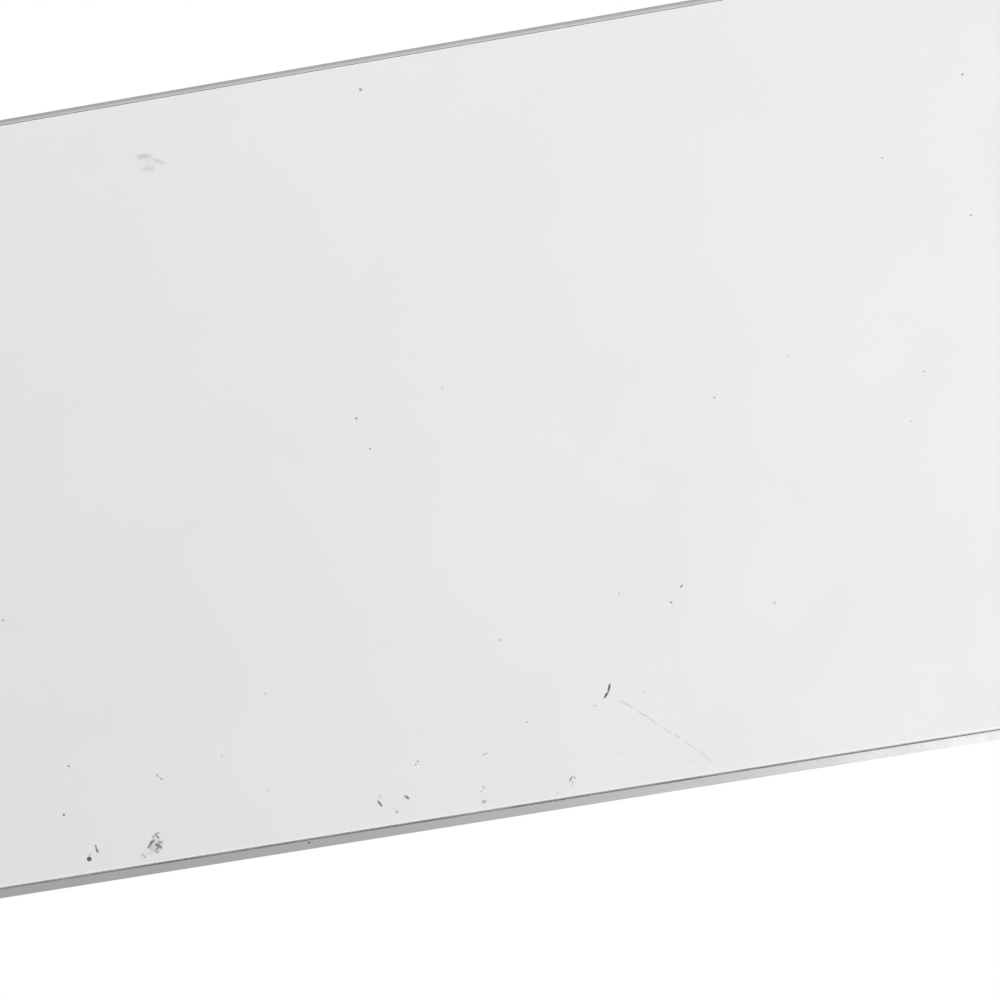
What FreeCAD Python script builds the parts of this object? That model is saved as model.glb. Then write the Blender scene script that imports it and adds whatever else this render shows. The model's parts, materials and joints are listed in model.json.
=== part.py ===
import FreeCAD, Part
import math
import os
from FreeCAD import Placement, Rotation, Vector

# A compact wireless keyboard: a wedge-shaped aluminium case with a window for each key, a flat
# plastic cover glued into its underside, and a scissor key mechanism on a steel plate inside.
# +X runs to the typist's right, +Y to the rear edge and +Z up. The origin is on the desk, under
# the middle of the case. All sizes are in millimetres.

# Key field
KEY_PITCH = 19.0              # from one key to the next, along a row and from row to row
KEY_GAP = 2.5                 # between neighbouring caps
FUNCTION_CAP_DEPTH = 10.5     # the rear row is shallower
ARROW_SPLIT = 0.7             # between the two half-height arrow caps
SIDE_MARGIN = 3.0             # case edge to the outer caps
FRONT_MARGIN = 3.0
REAR_MARGIN = 6.56
ROW_UNITS = 14.5              # length of each row, in key pitches
WIDE_UNITS = 1.25             # the two modifier keys beside the space bar, in key pitches
NUMBER_KEYS = 13              # keys one pitch wide in the number row
FUNCTION_KEYS = 13            # keys one pitch wide in the rear row

# Caps and their travel, measured square to the sloping key plane
CAP_PROUD = 0.9               # cap top above the case
CAP_THICKNESS = 1.4
CAP_DRAFT = 0.2               # each side leans in by this much towards the top
CAP_CORNER_RADIUS = 1.5
CORNER_FLATS = 2              # flats that turn each corner of a cap
HOME_KEYS = ("key_f", "key_j")  # each has a raised bar for the fingers to find
HOME_BAR_LENGTH = 3.2
HOME_BAR_WIDTH = 0.4
HOME_BAR_HEIGHT = 0.12
HOME_BAR_INSET = 3.75         # the cap's front edge to the middle of its bar
WINDOW_CLEARANCE = 0.35       # between a cap and its window
KEY_TRAVEL = 1.0
FOLDED_HEIGHT = 0.5           # left for the folded scissor under a pressed cap

# Case
CORNER_RADIUS = 5.0
TOP_EDGE_CHAMFER = 0.3
WEB_THICKNESS = 0.9           # the face between the key windows
WALL_THICKNESS = 2.2
RIM_WIDTH = 1.3               # bare metal seen round the cover
REAR_RIM_WIDTH = 0.8          # the same along the rear edge
REAR_HEIGHT = 10.2            # desk to the top face at the rear edge
RIB_WIDTH = 1.6               # ribs between the rows, which seat on the key plate

# Underside
FOOT_HEIGHT = 0.5
FOOT_DIAMETER = 6.4
FOOT_INSET = 6.5              # case edge to a foot's centre
COVER_THICKNESS = 0.8
COVER_GAP = 0.22              # seam between the cover and the rim
COVER_REAR_GAP = 0.08         # the cover sits closer to the rear rim
COVER_CHAMFER = 0.15          # round the lower edge of the cover
ADHESIVE_THICKNESS = 0.15
ADHESIVE_INSET = 0.1          # adhesive frame, back from the edges of its ledge
FRONT_AIR_GAP = 0.3           # cover to the key plate, at the front edge

# Key plate and what is on it
PLATE_THICKNESS = 0.3
MEMBRANE_THICKNESS = 0.2
PLATE_CLEARANCE = 0.6         # to the walls of the case
RIBBON_ROOM = 1.4             # more than that at the rear, where the ribbon goes down
MECHANISM_CLEARANCE = 0.05    # under a cap at rest
FRAME_INSET = 2.0             # cap edge to its scissor frame
FRAME_ARM_WIDTH = 1.0
FRAME_BAR_WIDTH = 0.8
FRAME_THICKNESS = 0.4
DOME_BASE = 4.0
DOME_TOP = 2.2
DOME_CLEARANCE = 0.25         # to the frame's cross bar, on a small key
BAR_WIRE = 0.45               # square section of a stabiliser bar
BAR_INSET = 0.9               # cap edge to its stabiliser bar
BAR_LEG = 6.0
STABILISED_UNITS = 1.75       # keys at least this wide have a stabiliser bar

# Screws
SCREW_HEAD_WIDTH = 2.4
SCREW_HEAD_HEIGHT = 0.35
SCREW_SHANK_WIDTH = 0.8
SCREW_LENGTH = 1.3
SCREW_CLEARANCE = 0.05
SCREW_SPACING = 210.0         # between the two plate screws of one rib
BOARD_SCREW_LENGTH = 1.5

# Battery
BATTERY_SPACING = 6.0         # between the two cells
BATTERY_SIDE_MARGIN = 20.0    # plate edge to a cell
BATTERY_CLEARANCE = 0.4       # above the cover
SCREW_KEEP_OUT = 2.2          # screw centre line to a cell
LEAD_WIDTH = 5.0
LEAD_THICKNESS = 0.3
LEAD_X = 29.0
LEAD_LAP = 2.6                # lead laid on the board

# Electronics along the rear wall
BOARD_THICKNESS = 0.8
BOARD_DEPTH = 10.4
BOARD_SOCKET_MARGIN = 9.5     # board past the charging socket
BOARD_SWITCH_MARGIN = 4.5     # board past the power switch
BOARD_WALL_GAP = 1.1          # board to the rear wall
POST_WIDTH = 3.2
POST_PLACES = (22.0, 97.0)
CHIP_PLACES = (56.0, 72.0, 84.0, 107.0)
CHIP_SIZES = ((12.0, 7.0, 1.1), (6.0, 6.0, 0.9), (5.0, 4.0, 0.8), (3.0, 3.0, 1.0))
RIBBON_X = 40.0
RIBBON_WIDTH = 12.0
RIBBON_THICKNESS = 0.15
RIBBON_LAP = 4.5              # ribbon laid on the board
SOCKET_WIDTH = 9.0
SOCKET_HEIGHT = 3.0
SOCKET_LENGTH = 8.2
SOCKET_RECESS = 0.25          # behind the face of the case
SOCKET_MOUTH_WIDTH = 7.0
SOCKET_MOUTH_HEIGHT = 1.9
SOCKET_MOUTH_DEPTH = 6.6
SOCKET_CLEARANCE = 0.1

# Power switch
SWITCH_INSET = 21.5           # case edge to the middle of the slot
SWITCH_TRAVEL = 2.2
SWITCH_CLEARANCE = 0.15
KNOB_WIDTH = 4.6
KNOB_HEIGHT = 2.4
KNOB_RECESS = 0.2             # knob behind the face of the case
FLANGE_OVERLAP = 0.5          # flange past the slot, above and below it
FLANGE_THICKNESS = 0.5
STEM_WIDTH = 1.6
STEM_HEIGHT = 1.2
STEM_LENGTH = 1.9
SWITCH_BODY_WIDTH = 9.0
SWITCH_BODY_DEPTH = 3.6

# How far the shapes that only cut others reach past the case
CUT_MARGIN = 20.0

# Levels on the key plane, where 0 is the top face of the case
CAP_BOTTOM = CAP_PROUD - CAP_THICKNESS
MEMBRANE_TOP = CAP_BOTTOM - KEY_TRAVEL - FOLDED_HEIGHT
PLATE_TOP = MEMBRANE_TOP - MEMBRANE_THICKNESS
PLATE_BOTTOM = PLATE_TOP - PLATE_THICKNESS

# Levels above the desk
COVER_TOP = FOOT_HEIGHT + COVER_THICKNESS
LEDGE = COVER_TOP + ADHESIVE_THICKNESS
FRONT_HEIGHT = COVER_TOP + FRONT_AIR_GAP - PLATE_BOTTOM

# The case, and the slope of its top face
FULL_CAP = KEY_PITCH - KEY_GAP
FIELD_WIDTH = ROW_UNITS * KEY_PITCH - KEY_GAP
FULL_ROWS = 5
CASE_WIDTH = FIELD_WIDTH + 2 * SIDE_MARGIN
SLOPE_LENGTH = FRONT_MARGIN + FULL_ROWS * KEY_PITCH + FUNCTION_CAP_DEPTH + REAR_MARGIN
SLOPE = math.asin((REAR_HEIGHT - FRONT_HEIGHT) / SLOPE_LENGTH)
CASE_DEPTH = SLOPE_LENGTH * math.cos(SLOPE)
MIDDLE_HEIGHT = (FRONT_HEIGHT + REAR_HEIGHT) / 2
KEY_PLANE = Placement(Vector(0, 0, MIDDLE_HEIGHT), Rotation(Vector(1, 0, 0), math.degrees(SLOPE)))
FIRST_ROW_FRONT = FRONT_MARGIN - SLOPE_LENGTH / 2
PLATE_WIDTH = CASE_WIDTH - 2 * (WALL_THICKNESS + PLATE_CLEARANCE)
PLATE_FRONT = WALL_THICKNESS + PLATE_CLEARANCE - SLOPE_LENGTH / 2
PLATE_REAR = SLOPE_LENGTH / 2 - WALL_THICKNESS - PLATE_CLEARANCE - RIBBON_ROOM
REAR_WALL_INSIDE = CASE_DEPTH / 2 - WALL_THICKNESS


# How wide a key is: one pitch, the wide modifier's width, or its share of what the row has left
PLAIN = "plain"
WIDE = "wide"
FILL = "fill"


def letters(row):
    """Letter keys one pitch wide, each in its own node."""
    return [("key_" + letter, PLAIN) for letter in row]


# Rows from the front to the rear: the node that holds each cap, and how wide it is
MODIFIER = ("modifier_keys", PLAIN)
WIDE_MODIFIER = ("modifier_keys", WIDE)
PUNCTUATION = ("punctuation_keys", PLAIN)
ARROW_PAIR = "arrow_pair"
SPACE_ROW = [MODIFIER, MODIFIER, MODIFIER, WIDE_MODIFIER, ("key_space", FILL), WIDE_MODIFIER, MODIFIER,
             ("key_arrow_left", PLAIN), (ARROW_PAIR, PLAIN), ("key_arrow_right", PLAIN)]
SHIFT_ROW = [("key_left_shift", FILL), *letters("zxcvbnm"), PUNCTUATION, PUNCTUATION, PUNCTUATION,
             ("key_right_shift", FILL)]
HOME_ROW = [("key_caps_lock", FILL), *letters("asdfghjkl"), PUNCTUATION, PUNCTUATION, ("key_return", FILL)]
TOP_LETTER_ROW = [("key_tab", FILL), *letters("qwertyuiop"), PUNCTUATION, PUNCTUATION, PUNCTUATION]
NUMBER_ROW = [("number_keys", PLAIN)] * NUMBER_KEYS + [("key_delete", FILL)]
FUNCTION_ROW = [("function_keys", FILL)] + [("function_keys", PLAIN)] * FUNCTION_KEYS
ROWS = [SPACE_ROW, SHIFT_ROW, HOME_ROW, TOP_LETTER_ROW, NUMBER_ROW, FUNCTION_ROW]


class Cap:
    """One key cap's place on the key plane: its node, centre, width and depth."""

    def __init__(self, node, u, v, width, depth, units):
        self.node = node
        self.u = u
        self.v = v
        self.width = width
        self.depth = depth
        self.units = units


def row_front(row):
    """Front edge of the caps of a row, counted from the front."""
    return FIRST_ROW_FRONT + row * KEY_PITCH


def gap_behind(row):
    """Middle of the gap behind a row."""
    return row_front(row + 1) - KEY_GAP / 2


def widths_in_pitches(keys):
    """Width of each key of a row: the filling keys share what the others leave."""
    units = {PLAIN: 1, WIDE: WIDE_UNITS, FILL: 0}
    kinds = [kind for node, kind in keys]
    units[FILL] = (ROW_UNITS - sum(units[kind] for kind in kinds)) / kinds.count(FILL)
    return [units[kind] for kind in kinds]


def key_cells():
    """Every full cell of the key field, where the two half-height arrow keys share one."""
    cells = []
    for row, keys in enumerate(ROWS):
        depth = FUNCTION_CAP_DEPTH if keys is FUNCTION_ROW else FULL_CAP
        left = -FIELD_WIDTH / 2
        for (node, kind), units in zip(keys, widths_in_pitches(keys)):
            width = units * KEY_PITCH - KEY_GAP
            cells.append(Cap(node, left + width / 2, row_front(row) + depth / 2, width, depth, units))
            left += units * KEY_PITCH
    return cells


def key_caps():
    """Every cap, with the shared cell split into its two arrow keys."""
    caps = []
    for cell in key_cells():
        if cell.node != ARROW_PAIR:
            caps.append(cell)
            continue
        half = (cell.depth - ARROW_SPLIT) / 2
        offset = (cell.depth - half) / 2
        caps.append(Cap("key_arrow_down", cell.u, cell.v - offset, cell.width, half, cell.units))
        caps.append(Cap("key_arrow_up", cell.u, cell.v + offset, cell.width, half, cell.units))
    return caps


def corner_outline(width, depth, radius, flats=CORNER_FLATS):
    """Points of a rectangle about the origin whose corners turn in equal flats round an arc."""
    points = []
    for quarter, (side_x, side_y) in enumerate([(1, 1), (-1, 1), (-1, -1), (1, -1)]):
        centre_x = side_x * (width / 2 - radius)
        centre_y = side_y * (depth / 2 - radius)
        for step in range(flats + 1):
            angle = math.radians(90 * (quarter + step / flats))
            points.append((centre_x + radius * math.cos(angle), centre_y + radius * math.sin(angle)))
    return points


def window_outline(cap):
    """Points of a cap's window, whose corners are single flats as far from the cap as its sides."""
    reach_x = cap.width / 2 + WINDOW_CLEARANCE
    reach_y = cap.depth / 2 + WINDOW_CLEARANCE
    flat = (2 - math.sqrt(2)) * (CAP_CORNER_RADIUS + WINDOW_CLEARANCE)
    rear_right = [(reach_x, reach_y - flat), (reach_x - flat, reach_y)]
    rear = rear_right + [(-x, y) for x, y in rear_right[::-1]]
    return rear + [(-x, -y) for x, y in rear]


def polygon(points):
    """A flat face through points."""
    return Part.Face(Part.makePolygon(points + points[:1]))


def tapered(lower, upper, low, high):
    """A closed solid between two outlines of as many points, with a flat face on every side."""
    bottom = [Vector(x, y, low) for x, y in lower]
    top = [Vector(x, y, high) for x, y in upper]
    faces = [polygon(bottom[::-1]), polygon(top)]
    for i in range(len(bottom)):
        j = (i + 1) % len(bottom)
        faces.append(polygon([bottom[i], bottom[j], top[j], top[i]]))
    shell = Part.makeShell(faces)
    shell.sewShape()
    solid = Part.makeSolid(shell)
    return solid if solid.Volume > 0 else solid.reversed()


def prism(outline, low, high):
    """An outline carried straight up from low to high."""
    return polygon([Vector(x, y, low) for x, y in outline]).extrude(Vector(0, 0, high - low))


def block(x0, x1, y0, y1, z0, z1):
    """A box between two corners."""
    return Part.makeBox(x1 - x0, y1 - y0, z1 - z0, Vector(x0, y0, z0))


def rounded_plate(width, depth, radius, low, high):
    """A plate about the Z axis with round corners."""
    plate = block(-width / 2, width / 2, -depth / 2, depth / 2, low, high)
    upright = [e for e in plate.Edges if abs(e.tangentAt(e.FirstParameter).z) > 0.99]
    return plate.makeFillet(radius, upright)


def slot_bar(width, height, x, z, y0, y1):
    """A bar along Y with round ends left and right, seen square to the rear wall."""
    radius = height / 2
    reach = width / 2 - radius
    bar = block(x - reach, x + reach, y0, y1, z - radius, z + radius)
    for side in (-1, 1):
        end = Part.makeCylinder(radius, y1 - y0, Vector(x + side * reach, y0, z), Vector(0, 1, 0))
        bar = bar.fuse(end)
    return bar.removeSplitter()


def on_key_plane(shape):
    """Moves a shape from the flat drawing of the key field onto the sloping key plane."""
    placed = shape.copy()
    placed.Placement = KEY_PLANE.multiply(placed.Placement)
    return placed


def height_of(v, w):
    """Height above the desk of a point of the key plane's own frame."""
    return KEY_PLANE.multVec(Vector(0, v, w)).z


def level_at(y, w):
    """Height above the desk, at a distance y to the rear, of the plane that lies w off the key plane."""
    return MIDDLE_HEIGHT + y * math.tan(SLOPE) + w / math.cos(SLOPE)


def below_key_plane(w):
    """Everything under the plane that lies w off the key plane."""
    half_width = CASE_WIDTH / 2 + CUT_MARGIN
    half_depth = SLOPE_LENGTH / 2 + CUT_MARGIN
    bottom = w - REAR_HEIGHT - CUT_MARGIN
    return on_key_plane(block(-half_width, half_width, -half_depth, half_depth, bottom, w))


# Levels of the electronics: board and socket sit midway between the cover and the key plate
SOCKET_INSIDE = CASE_DEPTH / 2 - SOCKET_RECESS - SOCKET_LENGTH
REAR_ROOM = level_at(SOCKET_INSIDE, PLATE_BOTTOM) - COVER_TOP
BOARD_BOTTOM = COVER_TOP + (REAR_ROOM - BOARD_THICKNESS - SOCKET_HEIGHT) / 2
BOARD_TOP = BOARD_BOTTOM + BOARD_THICKNESS
SOCKET_LEVEL = BOARD_TOP + SOCKET_HEIGHT / 2
BOARD_REAR = REAR_WALL_INSIDE - BOARD_WALL_GAP
BOARD_FRONT = BOARD_REAR - BOARD_DEPTH
POST_Y = (BOARD_FRONT + BOARD_REAR) / 2

# Battery: as thick as the room at its front edge allows
BATTERY_FRONT = gap_behind(2) + SCREW_KEEP_OUT
BATTERY_REAR = gap_behind(4) - SCREW_KEEP_OUT
BATTERY_BOTTOM = PLATE_BOTTOM - (height_of(BATTERY_FRONT, PLATE_BOTTOM) - COVER_TOP - BATTERY_CLEARANCE)

# Power switch: the knob rests at the off end of its slot
SWITCH_X = CASE_WIDTH / 2 - SWITCH_INSET
SLOT_WIDTH = KNOB_WIDTH + SWITCH_TRAVEL + 2 * SWITCH_CLEARANCE
SLOT_HEIGHT = KNOB_HEIGHT + 2 * SWITCH_CLEARANCE
KNOB_X = SWITCH_X - SWITCH_TRAVEL / 2
SCREW_RIBS = (0, 4)           # the ribs behind these rows take the plate screws
SCREW_PLACES = [(side * SCREW_SPACING / 2, gap_behind(row)) for row in SCREW_RIBS for side in (-1, 1)]


def hexagon(width, x, y):
    """Outline of a hexagon with this width across its corners."""
    return [(x + width / 2 * math.cos(math.radians(60 * i)), y + width / 2 * math.sin(math.radians(60 * i)))
            for i in range(6)]


def key_windows():
    """The shapes that cut a window for each key through the face of the case."""
    windows = []
    for cell in key_cells():
        window = prism(window_outline(cell), -2 * WEB_THICKNESS, WEB_THICKNESS)
        window.translate(Vector(cell.u, cell.v, 0))
        windows.append(window)
    return windows


def inside_rim(gap, rear_gap, high):
    """A plate that fills the rim from the bottom up, less a gap at the front and sides and at the rear."""
    inset = RIM_WIDTH + gap
    front = inset - CASE_DEPTH / 2
    rear = CASE_DEPTH / 2 - REAR_RIM_WIDTH - rear_gap
    plate = rounded_plate(CASE_WIDTH - 2 * inset, rear - front, CORNER_RADIUS - inset, FOOT_HEIGHT, high)
    plate.translate(Vector(0, (front + rear) / 2, 0))
    return plate


def within_case(inset, low, high):
    """A plate that fills the case's outline less an inset all round, as seen from above."""
    outline = corner_outline(CASE_WIDTH - 2 * inset, CASE_DEPTH - 2 * inset, CORNER_RADIUS - inset)
    return prism(outline, low, high)


def key_ribs():
    """Ribs under the face of the case, one in each gap between the rows, down to the membrane."""
    half = CASE_WIDTH / 2
    ribs = []
    for row in range(FULL_ROWS):
        middle = gap_behind(row)
        ribs.append(block(-half, half, middle - RIB_WIDTH / 2, middle + RIB_WIDTH / 2,
                          MEMBRANE_TOP, -WEB_THICKNESS))
    return ribs


def top_case():
    """The case: a thin-walled wedge, open below, with key windows and two openings at the rear."""
    outer = rounded_plate(CASE_WIDTH, CASE_DEPTH, CORNER_RADIUS, FOOT_HEIGHT, 2 * REAR_HEIGHT)
    outer = outer.common(below_key_plane(0))
    top_edges = [e for e in outer.Edges
                 if all(v.Z > level_at(v.Y, 0) - 0.01 for v in e.Vertexes)]
    outer = outer.makeChamfer(TOP_EDGE_CHAMFER, top_edges)
    recess = inside_rim(0, 0, LEDGE)
    hollow = within_case(WALL_THICKNESS, LEDGE, REAR_HEIGHT).common(below_key_plane(-WEB_THICKNESS))
    hollow = hollow.cut(on_key_plane(Part.makeCompound(key_ribs())))
    case = outer.cut(recess).cut(hollow)
    case = case.cut(on_key_plane(Part.makeCompound(key_windows())))
    inlet = slot_bar(SOCKET_WIDTH + 2 * SOCKET_CLEARANCE, SOCKET_HEIGHT + 2 * SOCKET_CLEARANCE,
                     0, SOCKET_LEVEL, REAR_WALL_INSIDE, CASE_DEPTH / 2)
    switch_slot = centred_bar(SWITCH_X, SLOT_WIDTH, SLOT_HEIGHT, REAR_WALL_INSIDE, CASE_DEPTH / 2)
    screw_holes = [on_key_plane(shank) for shank in plate_screw_shanks(SCREW_CLEARANCE)]
    return case.cut(Part.makeCompound([inlet, switch_slot, *screw_holes]))


def bottom_cover():
    """The flat cover glued inside the rim, its lower edge chamfered all round."""
    cover = inside_rim(COVER_GAP, COVER_REAR_GAP, COVER_TOP)
    lower_edges = [e for e in cover.Edges if all(v.Z < FOOT_HEIGHT + COVER_CHAMFER for v in e.Vertexes)]
    return cover.makeChamfer(COVER_CHAMFER, lower_edges)


def cover_adhesive():
    """The adhesive frame between the cover and the ledge of the case."""
    frame = within_case(RIM_WIDTH + COVER_GAP + ADHESIVE_INSET, COVER_TOP, LEDGE)
    return frame.cut(within_case(WALL_THICKNESS - ADHESIVE_INSET, COVER_TOP, LEDGE))


def rubber_feet():
    """Four round feet stuck to the cover near its corners."""
    feet = []
    for side_x in (-1, 1):
        for side_y in (-1, 1):
            centre = Vector(side_x * (CASE_WIDTH / 2 - FOOT_INSET),
                            side_y * (CASE_DEPTH / 2 - FOOT_INSET), 0)
            feet.append(Part.makeCylinder(FOOT_DIAMETER / 2, FOOT_HEIGHT, centre))
    return Part.makeCompound(feet)


def key_cap(cap):
    """One cap, with sides that lean in towards its top."""
    lower = corner_outline(cap.width, cap.depth, CAP_CORNER_RADIUS)
    upper = corner_outline(cap.width - 2 * CAP_DRAFT, cap.depth - 2 * CAP_DRAFT,
                           CAP_CORNER_RADIUS - CAP_DRAFT)
    shape = tapered(lower, upper, CAP_BOTTOM, CAP_PROUD)
    if cap.node in HOME_KEYS:
        middle = HOME_BAR_INSET - cap.depth / 2
        shape = shape.fuse(block(-HOME_BAR_LENGTH / 2, HOME_BAR_LENGTH / 2, middle - HOME_BAR_WIDTH / 2,
                                 middle + HOME_BAR_WIDTH / 2, CAP_BOTTOM, CAP_PROUD + HOME_BAR_HEIGHT))
    shape.translate(Vector(cap.u, cap.v, 0))
    return on_key_plane(shape)


def frame_length(cap):
    """Length of a cap's scissor frames, from front to rear."""
    return cap.depth - 2 * FRAME_INSET


def scissor_frame(cap, half_width, lean):
    """One U-shaped scissor frame, hinged at its middle: lean 1 rises to the rear, and -1 to the front."""
    length = frame_length(cap)
    bar = length / 2 - FRAME_BAR_WIDTH
    inside = half_width - FRAME_ARM_WIDTH
    half = length / 2
    outline = [(-half_width, -half), (-inside, -half), (-inside, bar), (inside, bar),
               (inside, -half), (half_width, -half), (half_width, half), (-half_width, half)]
    frame = prism(outline, -FRAME_THICKNESS / 2, FRAME_THICKNESS / 2)
    rise = CAP_BOTTOM - MECHANISM_CLEARANCE - MEMBRANE_TOP
    tilt = math.asin(rise / math.hypot(length, FRAME_THICKNESS)) - math.atan(FRAME_THICKNESS / length)
    frame.rotate(Vector(), Vector(1, 0, 0), math.degrees(tilt))
    if lean < 0:
        frame.rotate(Vector(), Vector(0, 0, 1), 180)
    frame.translate(Vector(cap.u, cap.v, MEMBRANE_TOP + rise / 2))
    return on_key_plane(frame)


def scissor_frames(caps, lean):
    """The outer frames, which rise to the rear, or the inner frames, which lie between their arms."""
    half_width = FULL_CAP / 2 - FRAME_INSET - (0 if lean > 0 else FRAME_ARM_WIDTH)
    return Part.makeCompound([scissor_frame(cap, half_width, lean) for cap in caps])


def square(side):
    """Outline of a square about the origin."""
    half = side / 2
    return [(-half, -half), (half, -half), (half, half), (-half, half)]


def rubber_domes(caps):
    """A spring dome under the middle of each cap."""
    domes = []
    for cap in caps:
        base = min(DOME_BASE, frame_length(cap) - 2 * (FRAME_BAR_WIDTH + DOME_CLEARANCE))
        top = base * DOME_TOP / DOME_BASE
        dome = tapered(square(base), square(top), MEMBRANE_TOP, CAP_BOTTOM - MECHANISM_CLEARANCE)
        dome.translate(Vector(cap.u, cap.v, 0))
        domes.append(on_key_plane(dome))
    return Part.makeCompound(domes)


def stabiliser_bars(caps):
    """A bent wire on the membrane under each wide key, which keeps the cap level."""
    bars = []
    for cap in caps:
        if cap.units < STABILISED_UNITS:
            continue
        reach = cap.width / 2 - BAR_INSET
        rear = cap.depth / 2 - BAR_INSET
        front = rear - BAR_LEG
        outline = [(-reach, front), (BAR_WIRE - reach, front), (BAR_WIRE - reach, rear - BAR_WIRE),
                   (reach - BAR_WIRE, rear - BAR_WIRE), (reach - BAR_WIRE, front), (reach, front),
                   (reach, rear), (-reach, rear)]
        bar = prism(outline, MEMBRANE_TOP, MEMBRANE_TOP + BAR_WIRE)
        bar.translate(Vector(cap.u, cap.v, 0))
        bars.append(on_key_plane(bar))
    return Part.makeCompound(bars)


def plate_screw_shanks(clearance):
    """The shanks of the plate screws, or their holes, on the flat drawing of the key field."""
    width = SCREW_SHANK_WIDTH + 2 * clearance
    top = PLATE_BOTTOM + SCREW_LENGTH + clearance
    return [prism(hexagon(width, u, v), PLATE_BOTTOM, top) for u, v in SCREW_PLACES]


def board_screw_shanks(clearance):
    """The shanks of the board screws, or their holes, from under the board up into its posts."""
    width = SCREW_SHANK_WIDTH + 2 * clearance
    top = BOARD_BOTTOM + BOARD_SCREW_LENGTH + clearance
    return [prism(hexagon(width, x, POST_Y), BOARD_BOTTOM, top) for x in POST_PLACES]


def screws():
    """The screws that hold the key plate to the ribs of the case, and the board to its posts."""
    made = []
    for (u, v), shank in zip(SCREW_PLACES, plate_screw_shanks(0)):
        head = prism(hexagon(SCREW_HEAD_WIDTH, u, v), PLATE_BOTTOM - SCREW_HEAD_HEIGHT, PLATE_BOTTOM)
        made.append(on_key_plane(head.fuse(shank)))
    for x, shank in zip(POST_PLACES, board_screw_shanks(0)):
        head = prism(hexagon(SCREW_HEAD_WIDTH, x, POST_Y), BOARD_BOTTOM - SCREW_HEAD_HEIGHT, BOARD_BOTTOM)
        made.append(head.fuse(shank))
    return Part.makeCompound(made)


def plate_sheet(low, high):
    """A sheet that fills the inside of the case on the key plane, with holes for the plate screws."""
    depth = PLATE_REAR - PLATE_FRONT
    sheet = prism(corner_outline(PLATE_WIDTH, depth, CORNER_RADIUS - WALL_THICKNESS), low, high)
    sheet.translate(Vector(0, PLATE_FRONT + depth / 2, 0))
    return on_key_plane(sheet.cut(Part.makeCompound(plate_screw_shanks(SCREW_CLEARANCE))))


def support_plate():
    """The steel key plate, with the posts that carry the board."""
    plate = plate_sheet(PLATE_BOTTOM, PLATE_TOP)
    posts = []
    for x in POST_PLACES:
        post = block(x - POST_WIDTH / 2, x + POST_WIDTH / 2,
                     POST_Y - POST_WIDTH / 2, POST_Y + POST_WIDTH / 2, BOARD_TOP, 2 * REAR_HEIGHT)
        posts.append(post.common(below_key_plane(PLATE_BOTTOM + PLATE_THICKNESS / 2)))
    plate = plate.fuse(posts).removeSplitter()
    return plate.cut(Part.makeCompound(board_screw_shanks(SCREW_CLEARANCE)))


def switch_membrane():
    """The printed contact membrane that lies on the key plate."""
    return plate_sheet(PLATE_TOP, MEMBRANE_TOP)


def strip(path, thickness, x, width):
    """A flat flexible strip along points (y, z), its thickness on the left of the way it runs."""
    near = [Vector(x - width / 2, y, z) for y, z in path]
    normals = [Vector(1, 0, 0).cross(b - a).normalize() for a, b in zip(near, near[1:])]
    far = []
    for i, point in enumerate(near):
        before = normals[max(i - 1, 0)]
        after = normals[min(i, len(normals) - 1)]
        far.append(point + (before + after) * (thickness / (1 + before.dot(after))))
    return polygon(near + far[::-1]).extrude(Vector(width, 0, 0))


def membrane_ribbon():
    """The ribbon from the rear edge of the membrane, round the key plate, to the board."""
    edge = KEY_PLANE.multVec(Vector(0, PLATE_REAR, PLATE_TOP))
    bend = RIBBON_ROOM / 2
    start = (edge.y, edge.z)
    turn = (edge.y + bend, edge.z + bend * math.tan(SLOPE))
    level = BOARD_TOP + RIBBON_THICKNESS
    rear = edge.y + bend
    path = [start, turn, (rear, level + bend / 2), (rear - bend / 2, level), (rear - RIBBON_LAP, level)]
    return strip(path, RIBBON_THICKNESS, RIBBON_X, RIBBON_WIDTH)


def battery_cells():
    """Two flat cells side by side on the back of the key plate."""
    inner = BATTERY_SPACING / 2
    outer = PLATE_WIDTH / 2 - BATTERY_SIDE_MARGIN
    cells = []
    for side in (-1, 1):
        x0, x1 = sorted((side * inner, side * outer))
        cell = block(x0, x1, BATTERY_FRONT, BATTERY_REAR, BATTERY_BOTTOM, PLATE_BOTTOM)
        cells.append(on_key_plane(cell))
    return Part.makeCompound(cells)


def battery_lead():
    """The flat lead from the right-hand cell to the top of the board."""
    cell_end = KEY_PLANE.multVec(Vector(0, BATTERY_REAR, (BATTERY_BOTTOM + PLATE_BOTTOM) / 2))
    return strip([(cell_end.y, cell_end.z), (BOARD_FRONT, BOARD_TOP), (BOARD_FRONT + LEAD_LAP, BOARD_TOP)],
                 LEAD_THICKNESS, LEAD_X, LEAD_WIDTH)


def logic_board():
    """The long narrow circuit board along the rear wall."""
    left = -SOCKET_WIDTH / 2 - BOARD_SOCKET_MARGIN
    right = SWITCH_X + SWITCH_BODY_WIDTH / 2 + BOARD_SWITCH_MARGIN
    board = block(left, right, BOARD_FRONT, BOARD_REAR, BOARD_BOTTOM, BOARD_TOP)
    return board.cut(Part.makeCompound(board_screw_shanks(SCREW_CLEARANCE)))


def board_chips():
    """The larger components on the board."""
    chips = []
    for x, (width, depth, height) in zip(CHIP_PLACES, CHIP_SIZES):
        chips.append(block(x - width / 2, x + width / 2, POST_Y - depth / 2, POST_Y + depth / 2,
                           BOARD_TOP, BOARD_TOP + height))
    return Part.makeCompound(chips)


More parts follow.
